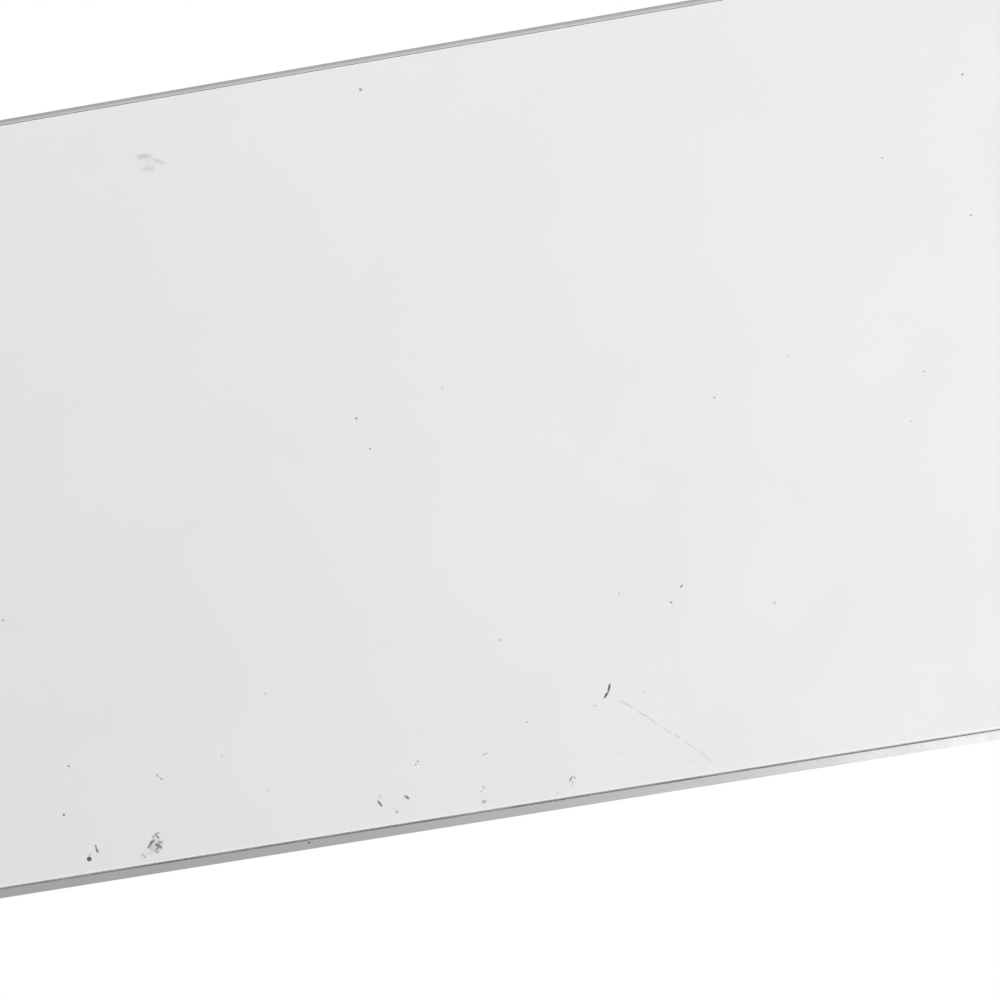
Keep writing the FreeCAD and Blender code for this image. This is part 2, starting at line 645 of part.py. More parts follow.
def charging_socket():
    """The charging socket, its mouth just behind the face of the rear wall."""
    rear = CASE_DEPTH / 2 - SOCKET_RECESS
    shell = slot_bar(SOCKET_WIDTH, SOCKET_HEIGHT, 0, SOCKET_LEVEL, SOCKET_INSIDE, rear)
    mouth = slot_bar(SOCKET_MOUTH_WIDTH, SOCKET_MOUTH_HEIGHT, 0, SOCKET_LEVEL,
                     rear - SOCKET_MOUTH_DEPTH, rear)
    return shell.cut(mouth)


def centred_bar(x, width, height, y0, y1):
    """A square-ended bar along Y, centred on x and on the level of the socket."""
    return block(x - width / 2, x + width / 2, y0, y1, SOCKET_LEVEL - height / 2, SOCKET_LEVEL + height / 2)


def stem_end():
    """How far forward the stem of the power switch reaches."""
    return REAR_WALL_INSIDE - SWITCH_CLEARANCE - FLANGE_THICKNESS - STEM_LENGTH


def power_switch_slider():
    """The knob in its slot, the flange that hides the slot, and the stem that drives the switch."""
    flange_rear = REAR_WALL_INSIDE - SWITCH_CLEARANCE
    flange_front = flange_rear - FLANGE_THICKNESS
    half_flange = SLOT_WIDTH / 2 + SWITCH_TRAVEL / 2 + FLANGE_OVERLAP
    flange_height = SLOT_HEIGHT + 2 * FLANGE_OVERLAP
    knob = centred_bar(KNOB_X, KNOB_WIDTH, KNOB_HEIGHT, flange_front, CASE_DEPTH / 2 - KNOB_RECESS)
    flange = centred_bar(KNOB_X, 2 * half_flange, flange_height, flange_front, flange_rear)
    stem = centred_bar(KNOB_X, STEM_WIDTH, STEM_HEIGHT, stem_end(), flange_rear)
    return knob.fuse([flange, stem]).removeSplitter()


def power_switch_body():
    """The switch on the board, with a groove for the stem."""
    rear = REAR_WALL_INSIDE - 2 * SWITCH_CLEARANCE - FLANGE_THICKNESS
    body = centred_bar(SWITCH_X, SWITCH_BODY_WIDTH, SOCKET_HEIGHT, rear - SWITCH_BODY_DEPTH, rear)
    groove = centred_bar(SWITCH_X, STEM_WIDTH + SWITCH_TRAVEL + 2 * SWITCH_CLEARANCE,
                         STEM_HEIGHT + 2 * SWITCH_CLEARANCE, stem_end() - SWITCH_CLEARANCE, rear)
    return body.cut(groove)


def keyboard():
    """Every node of the keyboard by name."""
    caps = key_caps()
    nodes = {
        "top_case": top_case(),
        "bottom_cover": bottom_cover(),
        "cover_adhesive": cover_adhesive(),
        "rubber_feet": rubber_feet(),
        "support_plate": support_plate(),
        "switch_membrane": switch_membrane(),
        "membrane_ribbon": membrane_ribbon(),
        "rubber_domes": rubber_domes(caps),
        "scissor_outer_frames": scissor_frames(caps, 1),
        "scissor_inner_frames": scissor_frames(caps, -1),
        "stabiliser_bars": stabiliser_bars(caps),
        "screws": screws(),
        "battery_cells": battery_cells(),
        "battery_lead": battery_lead(),
        "logic_board": logic_board(),
        "board_chips": board_chips(),
        "charging_socket": charging_socket(),
        "power_switch_body": power_switch_body(),
        "power_switch_slider": power_switch_slider(),
    }
    for node in sorted({cap.node for cap in caps}):
        nodes[node] = Part.makeCompound([key_cap(cap) for cap in caps if cap.node == node])
    return nodes


os.makedirs("parts", exist_ok=True)
for name, shape in keyboard().items():
    shape.exportStep("parts/" + name + ".step")
print("case", round(CASE_WIDTH, 2), "x", round(CASE_DEPTH, 2), "mm, front", round(FRONT_HEIGHT, 2), "mm")
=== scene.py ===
"""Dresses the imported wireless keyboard: its case, cover, keys and small parts, in a pale studio."""

import json
import logging
import math
from dataclasses import dataclass, field
from enum import Enum
from typing import Iterable, Iterator, Sequence

import bmesh
import bpy
from mathutils import Matrix, Vector


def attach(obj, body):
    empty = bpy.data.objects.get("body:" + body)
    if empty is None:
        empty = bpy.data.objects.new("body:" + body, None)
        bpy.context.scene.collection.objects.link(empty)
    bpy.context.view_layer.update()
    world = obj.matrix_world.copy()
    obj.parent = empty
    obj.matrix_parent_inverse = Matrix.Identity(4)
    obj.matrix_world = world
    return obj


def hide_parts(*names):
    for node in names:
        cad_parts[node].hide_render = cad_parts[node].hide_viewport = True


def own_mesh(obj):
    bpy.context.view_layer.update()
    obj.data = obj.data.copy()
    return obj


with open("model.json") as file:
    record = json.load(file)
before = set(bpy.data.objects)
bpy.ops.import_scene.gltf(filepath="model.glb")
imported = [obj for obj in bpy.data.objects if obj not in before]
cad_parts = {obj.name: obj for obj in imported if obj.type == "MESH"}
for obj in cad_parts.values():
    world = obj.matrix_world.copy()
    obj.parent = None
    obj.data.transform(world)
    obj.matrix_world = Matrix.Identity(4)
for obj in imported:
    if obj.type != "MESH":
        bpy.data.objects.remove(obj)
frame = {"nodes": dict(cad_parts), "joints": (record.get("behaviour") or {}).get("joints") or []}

LOG = logging.getLogger("keyboard")
MM = 0.001
SHARP = 32.0  # edges that turn more than this many degrees stay sharp
LEVEL = 0.9  # a face is level where its normal has more than this share along Z
TINY = 1e-6  # heights closer than this many millimetres are the same
Triple = tuple[float, float, float]
Colour = Triple
Pair = tuple[float, float]
BMesh = bmesh.types.BMesh
BMFace = bmesh.types.BMFace
Socket = bpy.types.NodeSocket
Setting = float | Sequence[float] | Socket


# Shader tools


class Graph:
    """Short calls that add and wire nodes in one shader tree."""

    def __init__(self, tree: bpy.types.NodeTree) -> None:
        """Keeps the tree that the nodes go into."""
        self.tree = tree

    def add(self, kind: str, inputs: dict[str | int, Setting] | None = None,
            **settings: object) -> bpy.types.Node:
        """Adds one node.

        Args:
            kind: The node's type, without its ShaderNode prefix.
            inputs: Values or sockets for the node's inputs, by name or number.
            **settings: The node's own settings.

        Returns:
            The new node.
        """
        node = self.tree.nodes.new(kind if kind.startswith("NodeGroup") else "ShaderNode" + kind)
        for name, value in settings.items():
            setattr(node, name, value)
        for name, value in (inputs or {}).items():
            if isinstance(value, Socket):
                self.tree.links.new(value, node.inputs[name])
            else:
                node.inputs[name].default_value = value
        return node

    def math(self, operation: str, *values: Setting) -> Socket:
        """Adds a Math node on some values and returns its result."""
        return self.add("Math", dict(enumerate(values)), operation=operation).outputs[0]

    def noise(self, vector: Setting, scale: Setting, **more: float) -> Socket:
        """Adds a noise texture and returns its value."""
        return self.add("TexNoise", {"Vector": vector, "Scale": scale, **more}).outputs[0]

    def remap(self, value: Setting, low: Setting, high: Setting, to_low: Setting = 0.0,
              to_high: Setting = 1.0) -> Socket:
        """Adds a clamped Map Range node, smooth between its ends, and returns its result."""
        inputs = {"Value": value, "From Min": low, "From Max": high, "To Min": to_low, "To Max": to_high}
        return self.add("MapRange", inputs, interpolation_type="SMOOTHSTEP").outputs[0]

    def mix(self, factor: Setting, first: Setting, second: Setting) -> Socket:
        """Mixes two colours and returns the result."""
        inputs = {0: factor, 6: rgba(first), 7: rgba(second)}  # sockets 6 and 7 are the colours
        return self.add("Mix", inputs, data_type="RGBA").outputs[2]


def rgba(colour: Setting) -> Setting:
    """Gives a plain colour its alpha, and leaves a socket as it is."""
    return colour if isinstance(colour, Socket) else (*colour, 1.0)


def empty_graph(owner: bpy.types.Material | bpy.types.World) -> Graph:
    """Gives a material or world an empty shader tree.

    Args:
        owner: The material or world.

    Returns:
        The graph of its tree.
    """
    owner.use_nodes = True
    owner.node_tree.nodes.clear()
    return Graph(owner.node_tree)


class Effect(Enum):
    """Surface effects that several finishes share."""

    GRAIN = "fine_grain"
    MOTTLE = "slow_mottle"
    SPECKS = "dust_specks"
    HAIRLINES = "hairline_scratches"


class EffectShelf:
    """Builds each effect's node group once and places it in materials."""

    patches: Pair = (0.32, 0.68)
    least_speck: float = 0.4
    speck_fade: Pair = (1.0, 0.4)
    bend: float = 0.012
    break_scale: float = 2.3
    breaks: Pair = (0.55, 0.7)

    def __init__(self) -> None:
        """Starts with no group built."""
        self.groups: dict[Effect, bpy.types.NodeTree] = {}
        self.makers = {Effect.GRAIN: self.grain, Effect.MOTTLE: self.mottle, Effect.SPECKS: self.specks,
                       Effect.HAIRLINES: self.hairlines}

    def place(self, graph: Graph, effect: Effect, inputs: dict[str, Setting]) -> Socket:
        """Places an effect in a material.

        Args:
            graph: The material's graph.
            effect: Which effect.
            inputs: Values for the group's named inputs.

        Returns:
            The group's one output.
        """
        if effect not in self.groups:
            self.groups[effect] = self.makers[effect]()
        return graph.add("Group", inputs, node_tree=self.groups[effect]).outputs[0]

    def open_group(self, effect: Effect, size: float, **numbers: float) -> tuple[
            Graph, bpy.types.bpy_prop_collection, Socket]:
        """Starts a group with Vector and Size inputs and one output named Mask.

        Args:
            effect: The effect that names the group.
            size: The default of its Size, in metres.
            **numbers: Its other inputs with their defaults.

        Returns:
            The group's graph, what it is given, and the texture scale that its Size makes.
        """
        tree = bpy.data.node_groups.new(effect.value, "ShaderNodeTree")
        tree.interface.new_socket("Vector", in_out="INPUT", socket_type="NodeSocketVector")
        for name, value in {"Size": size, **numbers}.items():
            socket = tree.interface.new_socket(name, in_out="INPUT", socket_type="NodeSocketFloat")
            socket.default_value = value
        tree.interface.new_socket("Mask", in_out="OUTPUT", socket_type="NodeSocketFloat")
        graph = Graph(tree)
        given = graph.add("NodeGroupInput").outputs
        return graph, given, graph.math("DIVIDE", 1.0, given["Size"])

    def close_group(self, graph: Graph, mask: Socket) -> bpy.types.NodeTree:
        """Wires a group's mask to its output and returns its tree."""
        graph.add("NodeGroupOutput", {0: mask})
        return graph.tree

    def grain(self) -> bpy.types.NodeTree:
        """Fine moulded or blasted grain, as a height. The Size is that of one grain."""
        graph, given, scale = self.open_group(Effect.GRAIN, size=0.0002)
        return self.close_group(graph, graph.noise(given["Vector"], scale, Detail=3.0, Roughness=0.65))

    def mottle(self) -> bpy.types.NodeTree:
        """Slow, soft changes of tone.

        Returns:
            The group, whose Size is that of one patch.
        """
        graph, given, scale = self.open_group(Effect.MOTTLE, size=0.02)
        noise = graph.noise(given["Vector"], scale, Detail=4.0, Roughness=0.55, Distortion=0.4)
        return self.close_group(graph, graph.remap(noise, *self.patches))

    def specks(self) -> bpy.types.NodeTree:
        """Sparse round specks, at most one to a cell.

        Returns:
            The group: the Size of a cell, the Radius of a speck in cells, the Share of cells with one.
        """
        graph, given, scale = self.open_group(Effect.SPECKS, size=0.006, Radius=0.04, Share=0.3)
        cells = graph.add("TexVoronoi", {"Vector": given["Vector"], "Scale": scale}).outputs
        dice = graph.add("TexWhiteNoise", {"Vector": cells["Color"]}, noise_dimensions="3D").outputs
        kept = graph.math("LESS_THAN", dice["Value"], given["Share"])
        radius = graph.math("MULTIPLY", given["Radius"], graph.math("ADD", self.least_speck, cells["Color"]))
        spot = graph.remap(graph.math("DIVIDE", cells["Distance"], radius), *self.speck_fade)
        return self.close_group(graph, graph.math("MULTIPLY", spot, kept))

    def hairlines(self) -> bpy.types.NodeTree:
        """Broken hair-thin scratches.

        Returns:
            The group, with the Size of the pattern and the Width of a line in it.
        """
        graph, given, scale = self.open_group(Effect.HAIRLINES, size=0.03, Width=0.004)
        vector = given["Vector"]
        bend = graph.add("TexNoise", {"Vector": vector, "Scale": scale, "Detail": 1.0}).outputs["Color"]
        shift = graph.add("VectorMath", {0: bend, "Scale": self.bend}, operation="SCALE").outputs[0]
        bent = graph.add("VectorMath", {0: vector, 1: shift}, operation="ADD").outputs[0]
        lines = graph.add("TexVoronoi", {"Vector": bent, "Scale": scale, "Randomness": 1.0},
                          feature="DISTANCE_TO_EDGE").outputs
        thin = graph.remap(lines["Distance"], given["Width"], 0.0)
        breaks = graph.noise(vector, graph.math("MULTIPLY", scale, self.break_scale), Detail=2.0)
        return self.close_group(graph, graph.math("MULTIPLY", thin, graph.remap(breaks, *self.breaks)))


@dataclass(frozen=True)
class Finish:
    """A surface with grain, slow mottling, specks of dust and hairlines. Sizes are in millimetres."""

    name: str
    slot: str
    colour: Colour
    drift: Colour
    roughness: float
    metallic: float = 0.0
    grain: float = 0.2
    relief: float = 0.004
    stretch: Triple = (1.0, 1.0, 1.0)
    mottle: float = 18.0
    polish: float = 0.08
    speck_share: float = 0.12
    speck_tint: float = 0.75
    scratch_tint: float = 0.92
    speck_cover: float = 0.7
    scratch_cover: float = 0.8
    speck_roughness: float = 0.15

    def build(self, shelf: EffectShelf) -> bpy.types.Material:
        """Makes the material.

        Args:
            shelf: Where the shared effects come from.

        Returns:
            The finished material.
        """
        material = bpy.data.materials.new(self.name)
        graph = empty_graph(material)
        place = graph.add("TexCoord").outputs["Object"]
        along = graph.add("Mapping", {"Vector": place, "Scale": self.stretch}).outputs[0]
        mottle = shelf.place(graph, Effect.MOTTLE, {"Vector": place, "Size": self.mottle * MM})
        grain = shelf.place(graph, Effect.GRAIN, {"Vector": along, "Size": self.grain * MM})
        specks = shelf.place(graph, Effect.SPECKS, {"Vector": place, "Share": self.speck_share})
        lines = shelf.place(graph, Effect.HAIRLINES, {"Vector": place})
        colour = graph.mix(mottle, self.colour, self.drift)
        for mask, cover, tint in ((specks, self.speck_cover, self.speck_tint),
                                  (lines, self.scratch_cover, self.scratch_tint)):
            colour = graph.mix(graph.math("MULTIPLY", mask, cover), colour, self.shade(tint))
        colour = self.tint(graph, shelf, place, colour)
        rough = graph.remap(mottle, 0.0, 1.0, self.roughness - self.polish, self.roughness + self.polish)
        rough = graph.math("ADD", rough, graph.math("MULTIPLY", specks, self.speck_roughness))
        bump = graph.add("Bump", {"Height": grain, "Distance": self.relief * MM, "Strength": 1.0})
        shader = graph.add("BsdfPrincipled", {"Base Color": colour, "Roughness": rough,
                                              "Metallic": self.metallic, "Normal": bump.outputs[0]})
        graph.add("OutputMaterial", {0: shader.outputs[0]})
        return material

    def shade(self, share: float) -> Colour:
        """The finish's colour times a share."""
        return tuple(level * share for level in self.colour)

    def tint(self, graph: Graph, shelf: EffectShelf, place: Socket, colour: Socket) -> Socket:
        """Gives back the colour so far, with what only this kind of finish has. A plain one has nothing."""
        return colour


@dataclass(frozen=True)
class Mark:
    """A stroke or spot of dirt, in millimetres and degrees. Its strength and raggedness go from 0 to 1."""

    x: float
    y: float
    length: float
    width: float
    angle: float
    strength: float
    ragged: float


MARKS = tuple(Mark(*row) for row in (
    (15.1, -53.0, 1.6, 0.48, -53, 0.46, 0.3), (14.6, -52.6, 1.2, 0.48, -29, 0.5, 0.4),
    (14.3, -51.9, 1.2, 0.48, -37, 0.26, 0.4), (13.7, -51.5, 0.9, 0.37, -13, 0.32, 0.4),
    (13.8, -52.1, 1.0, 0.52, 65, 0.4, 0.4), (13.5, -52.9, 0.9, 0.41, 21, 0.42, 0.4),
    (13.9, -53.4, 1.5, 0.85, 46, 0.42, 0.6), (14.3, -53.9, 0.9, 0.33, -39, 0.28, 0.4),
    (14.1, -54.3, 1.0, 0.44, -32, 0.22, 0.5), (16.5, -54.4, 0.8, 0.3, -37, 0.28, 0.3),
    (16.2, -54.7, 0.9, 0.3, -44, 0.28, 0.3), (14.4, -53.4, 3.3, 2.3, -29, 0.13, 0.9),
    (-0.8, 48.4, 3.1, 1.11, 10, 0.13, 0.5), (-2.9, 47.3, 2.6, 0.83, 30, 0.09, 0.5),
    (-1.2, 46.4, 2.9, 1.02, 11, 0.07, 0.5), (-1.3, 47.1, 2.4, 1.66, 59, 0.04, 0.5),
    (-56.3, -40.8, 1.7, 0.48, -68, 0.72, 0.05), (-55.7, -41.8, 1.6, 0.48, -47, 0.72, 0.05),
    (-58.4, -43.6, 3.8, 0.3, 37, 0.12, 0.2), (-60.6, -45.5, 2.6, 0.31, 38, 0.14, 0.2),
    (-61.8, -46.6, 2.6, 0.28, 48, 0.12, 0.2), (-63.7, -48.4, 2.4, 0.3, 44, 0.1, 0.2),
    (-65.1, -49.5, 1.4, 0.35, 44, 0.13, 0.2), (-66.8, -51.2, 3.2, 0.3, 42, 0.1, 0.2),
    (-68.6, -53.0, 3.8, 0.41, 48, 0.08, 0.3), (-61.3, -42.3, 0.5, 0.3, -34, 0.22, 0.2),
    (-53.8, -43.1, 0.9, 0.33, 26, 0.11, 0.3), (-56.4, -50.8, 1.2, 0.26, 42, 0.08, 0.2),
    (-66.5, -53.3, 0.7, 0.3, -17, 0.16, 0.2), (-26.5, -47.1, 0.4, 0.35, 85, 0.42, 0.1),
    (-26.1, -47.5, 0.4, 0.35, 85, 0.42, 0.1), (-19.9, -52.4, 1.5, 0.55, 58, 0.5, 0.3),
    (-20.1, -51.4, 1.0, 0.33, 88, 0.14, 0.2), (-24.0, -52.1, 1.3, 0.55, 45, 0.5, 0.3),
    (-23.4, -52.3, 0.5, 0.3, 44, 0.14, 0.2), (-22.2, -54.0, 0.5, 0.37, 60, 0.38, 0.2),
    (-21.9, -53.4, 0.4, 0.26, 73, 0.2, 0.2), (-35.5, -52.4, 0.8, 0.33, 72, 0.24, 0.2),
    (-35.1, -53.0, 0.4, 0.37, 43, 0.24, 0.2), (-35.3, -54.5, 1.0, 0.63, -17, 0.26, 0.5),
    (-36.5, -47.6, 1.5, 0.31, -14, 0.2, 0.2), (24.5, -53.7, 0.9, 0.93, -83, 0.95, 0.12),
    (24.3, -53.1, 0.7, 0.31, -41, 0.24, 0.2), (23.2, -52.1, 1.0, 0.37, 79, 0.46, 0.1),
    (23.1, -52.7, 1.0, 0.43, 67, 0.56, 0.1), (26.5, -54.1, 0.3, 0.33, 46, 0.16, 0.1),
    (22.1, -53.3, 0.3, 0.3, 20, 0.1, 0.1), (-34.4, 52.7, 0.7, 0.55, 34, 0.42, 0.3),
    (-25.8, 4.7, 0.6, 0.44, 19, 0.4, 0.2), (-27.1, -0.1, 0.4, 0.37, 62, 0.4, 0.1),
    (-39.1, 7.1, 0.4, 0.35, 36, 0.32, 0.1), (-122.1, 39.8, 0.4, 0.43, 69, 0.4, 0.1),
    (-108.6, 29.7, 0.4, 0.37, 36, 0.35, 0.1), (-120.0, 19.2, 0.5, 0.41, 24, 0.35, 0.1),
    (-78.6, -1.0, 0.6, 0.37, 1, 0.28, 0.2), (-90.2, 3.3, 0.3, 0.33, 28, 0.26, 0.1),
    (-109.5, -2.3, 0.4, 0.35, 24, 0.32, 0.1), (-106.5, -9.2, 0.3, 0.33, 28, 0.26, 0.1),
    (31.5, -16.4, 0.5, 0.37, 39, 0.4, 0.1), (25.3, -39.5, 0.5, 0.39, 23, 0.4, 0.1),
    (27.2, -46.6, 0.5, 0.44, 40, 0.62, 0.1), (-5.7, -33.5, 0.4, 0.33, 31, 0.26, 0.1),
    (12.3, -43.0, 0.9, 0.26, 59, 0.34, 0.1), (11.8, -43.6, 0.7, 0.31, 34, 0.36, 0.1),
    (2.3, -41.6, 0.8, 0.26, -36, 0.2, 0.1), (-69.3, -27.7, 0.8, 0.33, -38, 0.42, 0.1),
    (-67.4, -29.8, 0.6, 0.37, 34, 0.5, 0.1), (-60.0, -27.3, 0.4, 0.33, 25, 0.28, 0.1),
    (-43.5, -43.9, 0.5, 0.3, 29, 0.22, 0.1), (-82.4, -32.3, 0.5, 0.35, 23, 0.3, 0.1),
    (-46.2, -55.0, 0.6, 0.3, -8, 0.2, 0.1), (-48.5, -53.25, 1.3, 0.36, -52, 0.42, 0.2),
    (-49.1, -53.1, 0.8, 0.32, 59, 0.26, 0.2), (-48.7, -53.9, 1.3, 0.4, -83, 0.1, 0.2),
    (-8.5, -56.45, 0.5, 0.42, 10, 0.6, 0.1), (-3.7, -47.9, 0.4, 0.3, 23, 0.2, 0.1),
    (-41.4, -31.3, 0.7, 0.44, -9, 0.18, 0.2), (62.0, 14.0, 0.5, 0.4, 0, 0.4, 0.1),
    (88.0, -31.0, 3.8, 0.2, 24, 0.13, 0.2), (104.0, 38.0, 0.5, 0.4, 0, 0.35, 0.1),
    (71.0, 44.0, 1.4, 0.3, 150, 0.25, 0.2), (117.0, -12.0, 0.6, 0.5, 0, 0.4, 0.2),
    (45.0, -22.0, 0.5, 0.4, 0, 0.3, 0.1),
))


@dataclass(frozen=True)
class CoverFinish(Finish):
    """The matte cover, which warms in patches towards its rear edge. Its span and patch are in metres."""

    warm: Colour = (0.80, 0.77, 0.765)
    warm_span: Pair = (-0.03, 0.055)
    warm_share: Pair = (0.1, 0.55)
    patch: float = 0.045

    def tint(self, graph: Graph, shelf: EffectShelf, place: Socket, colour: Socket) -> Socket:
        """Warms the cover towards one edge in patches.

        Args:
            graph: The material's graph.
            shelf: Where the shared effects come from.
            place: The object coordinates.
            colour: The colour so far.

        Returns:
            The warmed colour.
        """
        patch = shelf.place(graph, Effect.MOTTLE, {"Vector": place, "Size": self.patch})
        rear = graph.add("SeparateXYZ", {0: place}).outputs["Y"]
        warm = graph.math("MULTIPLY", graph.remap(rear, *self.warm_span, *self.warm_share), patch)
        return graph.mix(warm, colour, self.warm)


@dataclass(frozen=True)
class ShadedRimFinish(Finish):
    """The metal of the rim, with a painted gradient of shade and reflection along the rear rim: dark at the
    outer edge, brightening inwards. Its span is in metres.
    """

    # Painted shade: the rear rim runs from this dark colour at its outer edge to the bright one inwards
    edge: Colour = (0.28, 0.281, 0.277)
    bright: Colour = (0.43, 0.432, 0.426)
    span: Pair = (0.05725, 0.05665)
    rear_from: float = 0.055

    def tint(self, graph: Graph, shelf: EffectShelf, place: Socket, colour: Socket) -> Socket:
        """Paints shade onto the rear rim, darkest at its outer edge and brightening inwards.

        Args:
            graph: The material's graph.
            shelf: Not used.
            place: The object coordinates.
            colour: The colour so far.

        Returns:
            The shaded colour.
        """
        rear = graph.add("SeparateXYZ", {0: place}).outputs["Y"]
        shaded = graph.mix(graph.remap(rear, *self.span), self.edge, self.bright)
        return graph.mix(graph.math("GREATER_THAN", rear, self.rear_from), colour, shaded)


@dataclass(frozen=True)
class FilmFinish(Finish):
    """A thin film of dirt, as dense as the film attribute of its mesh says: falloff, strength, raggedness."""

    flakes: float = 2200.0
    raggedness: float = 4.0
    density: Pair = (0.1, 0.75)

    def build(self, shelf: EffectShelf) -> bpy.types.Material:
        """Makes the material, clear where the film is thin.

        Args:
            shelf: Where the shared effects come from.

        Returns:
            The finished material.
        """
        material = super().build(shelf)
        graph = Graph(material.node_tree)
        film = graph.add("Attribute", attribute_name="film").outputs["Color"]
        falloff, strength, ragged = graph.add("SeparateColor", {0: film}).outputs
        noise = graph.noise(graph.add("TexCoord").outputs["Object"], self.flakes, Detail=2.0)
        ragged = graph.math("MULTIPLY", ragged, self.raggedness)
        noise = graph.math("MULTIPLY", graph.math("SUBTRACT", noise, 0.5), ragged)
        dense = graph.remap(graph.math("ADD", falloff, noise), *self.density)
        shader = next(node for node in material.node_tree.nodes if node.type == "BSDF_PRINCIPLED")
        graph.tree.links.new(graph.math("MULTIPLY", dense, strength), shader.inputs["Alpha"])
        return material


COVER = CoverFinish("cover_matte_plastic", "cover_plastic", (0.785, 0.79, 0.773), (0.77, 0.778, 0.762), 0.55,
                    grain=0.22, mottle=30.0, polish=0.02, speck_share=0.05, speck_tint=0.8,
                    scratch_tint=0.96)
DIRT = FilmFinish("dirt_film", "cover_plastic", (0.085, 0.083, 0.078), (0.11, 0.105, 0.1), 0.7,
                  relief=0.002, mottle=1.0)
# A lighter copy of the cover plastic for its edge: a painted highlight along the seam
COVER_EDGE_HIGHLIGHT = Finish("cover_edge_highlight_plastic", "cover_plastic", (0.88, 0.882, 0.87), (0.86, 0.862, 0.85), 0.34,
                    grain=0.22, relief=0.002, mottle=12.0, speck_share=0.1)
ALUMINIUM = Finish("blasted_aluminium", "case_aluminium", (0.4, 0.403, 0.408), (0.385, 0.388, 0.392), 0.5,
                   1.0, grain=0.12, relief=0.006, mottle=25.0, polish=0.03, speck_share=0.05,
                   scratch_tint=1.15)
# A darker copy of the case aluminium, as painted shade: it stands for the dim reflection of the rim seen from
# below
RIM_PAINTED_SHADE = ShadedRimFinish("rim_aluminium_painted_shade", "case_aluminium", (0.35, 0.351, 0.345), (0.335, 0.337, 0.332), 0.45, 1.0,
                grain=0.12, relief=0.006, mottle=8.0, polish=0.03, speck_share=0.3, speck_tint=0.8,
                scratch_tint=1.2)
# Bright cut metal for the chamfers, also used on the recess walls and ledge as painted light in the seam
CUT_EDGE_AND_LIT_LEDGE = Finish("cut_edge_and_lit_ledge_aluminium", "case_aluminium", (0.53, 0.535, 0.54), (0.49, 0.495, 0.5), 0.28,
                     1.0, grain=0.1, relief=0.002, mottle=12.0, polish=0.05, speck_share=0.03)
CAP = Finish("key_cap_plastic", "key_plastic", (0.83, 0.835, 0.835), (0.81, 0.815, 0.81), 0.45,
             grain=0.16, relief=0.003, mottle=9.0, polish=0.1, speck_share=0.06, speck_tint=0.8)
LEGEND = Finish("legend_print", "key_plastic", (0.15, 0.152, 0.155), (0.19, 0.19, 0.192), 0.6,
                grain=0.1, relief=0.001, mottle=4.0, speck_share=0.02, scratch_tint=1.5)
LAMP = Finish("lock_lamp_lens", "key_plastic", (0.55, 0.6, 0.56), (0.5, 0.55, 0.5), 0.25,
              grain=0.3, relief=0.001, speck_share=0.0)
FOOT = Finish("foot_rubber", "foot_rubber", (0.56, 0.57, 0.58), (0.48, 0.485, 0.49), 0.8,
              grain=0.15, relief=0.01, mottle=2.0, speck_share=0.45, speck_tint=0.55)
FOAM = Finish("adhesive_foam", "adhesive_foam", (0.03, 0.03, 0.03), (0.05, 0.05, 0.05), 0.9, grain=0.1,
              relief=0.02)
PLATE = Finish("pressed_steel", "plate_steel", (0.5, 0.505, 0.51), (0.42, 0.425, 0.43), 0.38, 1.0,
               grain=0.5, relief=0.003, stretch=(1.0, 14.0, 1.0), mottle=12.0, scratch_tint=1.2)
FILM = Finish("printed_film", "membrane_film", (0.62, 0.65, 0.6), (0.5, 0.53, 0.5), 0.3,
              grain=1.2, stretch=(1.0, 9.0, 1.0), mottle=3.0, speck_share=0.5, speck_tint=0.5)
DOME = Finish("dome_silicone", "dome_rubber", (0.72, 0.72, 0.69), (0.66, 0.66, 0.63), 0.5,
              grain=0.3, relief=0.002, mottle=2.0)
SCISSOR = Finish("scissor_plastic", "scissor_plastic", (0.76, 0.76, 0.74), (0.7, 0.7, 0.68), 0.4,
                 relief=0.002, mottle=3.0)
WIRE = Finish("drawn_wire", "wire_steel", (0.55, 0.55, 0.55), (0.45, 0.45, 0.45), 0.3, 1.0,
              grain=0.4, relief=0.002, stretch=(0.1, 2.0, 2.0), mottle=4.0)
BATTERY = Finish("battery_wrap", "battery_wrap", (0.03, 0.03, 0.034), (0.05, 0.05, 0.054), 0.35,
                 grain=1.5, relief=0.02, mottle=14.0, speck_share=0.3, speck_tint=2.5)
LEAD = Finish("amber_film", "lead_film", (0.5, 0.24, 0.05), (0.4, 0.18, 0.03), 0.3, grain=0.4, relief=0.003)
BOARD = Finish("board_laminate", "board_laminate", (0.02, 0.08, 0.045), (0.03, 0.12, 0.06), 0.35,
               grain=0.8, relief=0.01, stretch=(1.0, 5.0, 1.0), mottle=1.5, speck_share=0.8, speck_tint=6.0)
CHIP = Finish("chip_resin", "chip_resin", (0.02, 0.02, 0.021), (0.03, 0.03, 0.03), 0.5, grain=0.1,
              mottle=2.0)
SOCKET = Finish("nickel_shell", "socket_steel", (0.52, 0.51, 0.49), (0.46, 0.455, 0.44), 0.25, 1.0,
                grain=0.3, relief=0.002, stretch=(3.0, 0.3, 3.0), mottle=2.0, scratch_tint=1.3)
CONTACT = Finish("contact_block", "switch_plastic", (0.02, 0.02, 0.02), (0.035, 0.035, 0.035), 0.4,
                 grain=0.1, relief=0.002, mottle=1.0)
SWITCH = Finish("switch_body_plastic", "switch_plastic", (0.03, 0.03, 0.03), (0.045, 0.045, 0.045), 0.5,
                grain=0.15, relief=0.003, mottle=2.0)
KNOB = Finish("knob_plastic", "knob_plastic", (0.74, 0.745, 0.75), (0.7, 0.705, 0.71), 0.35,
              grain=0.1, relief=0.002, mottle=1.5, speck_share=0.3)
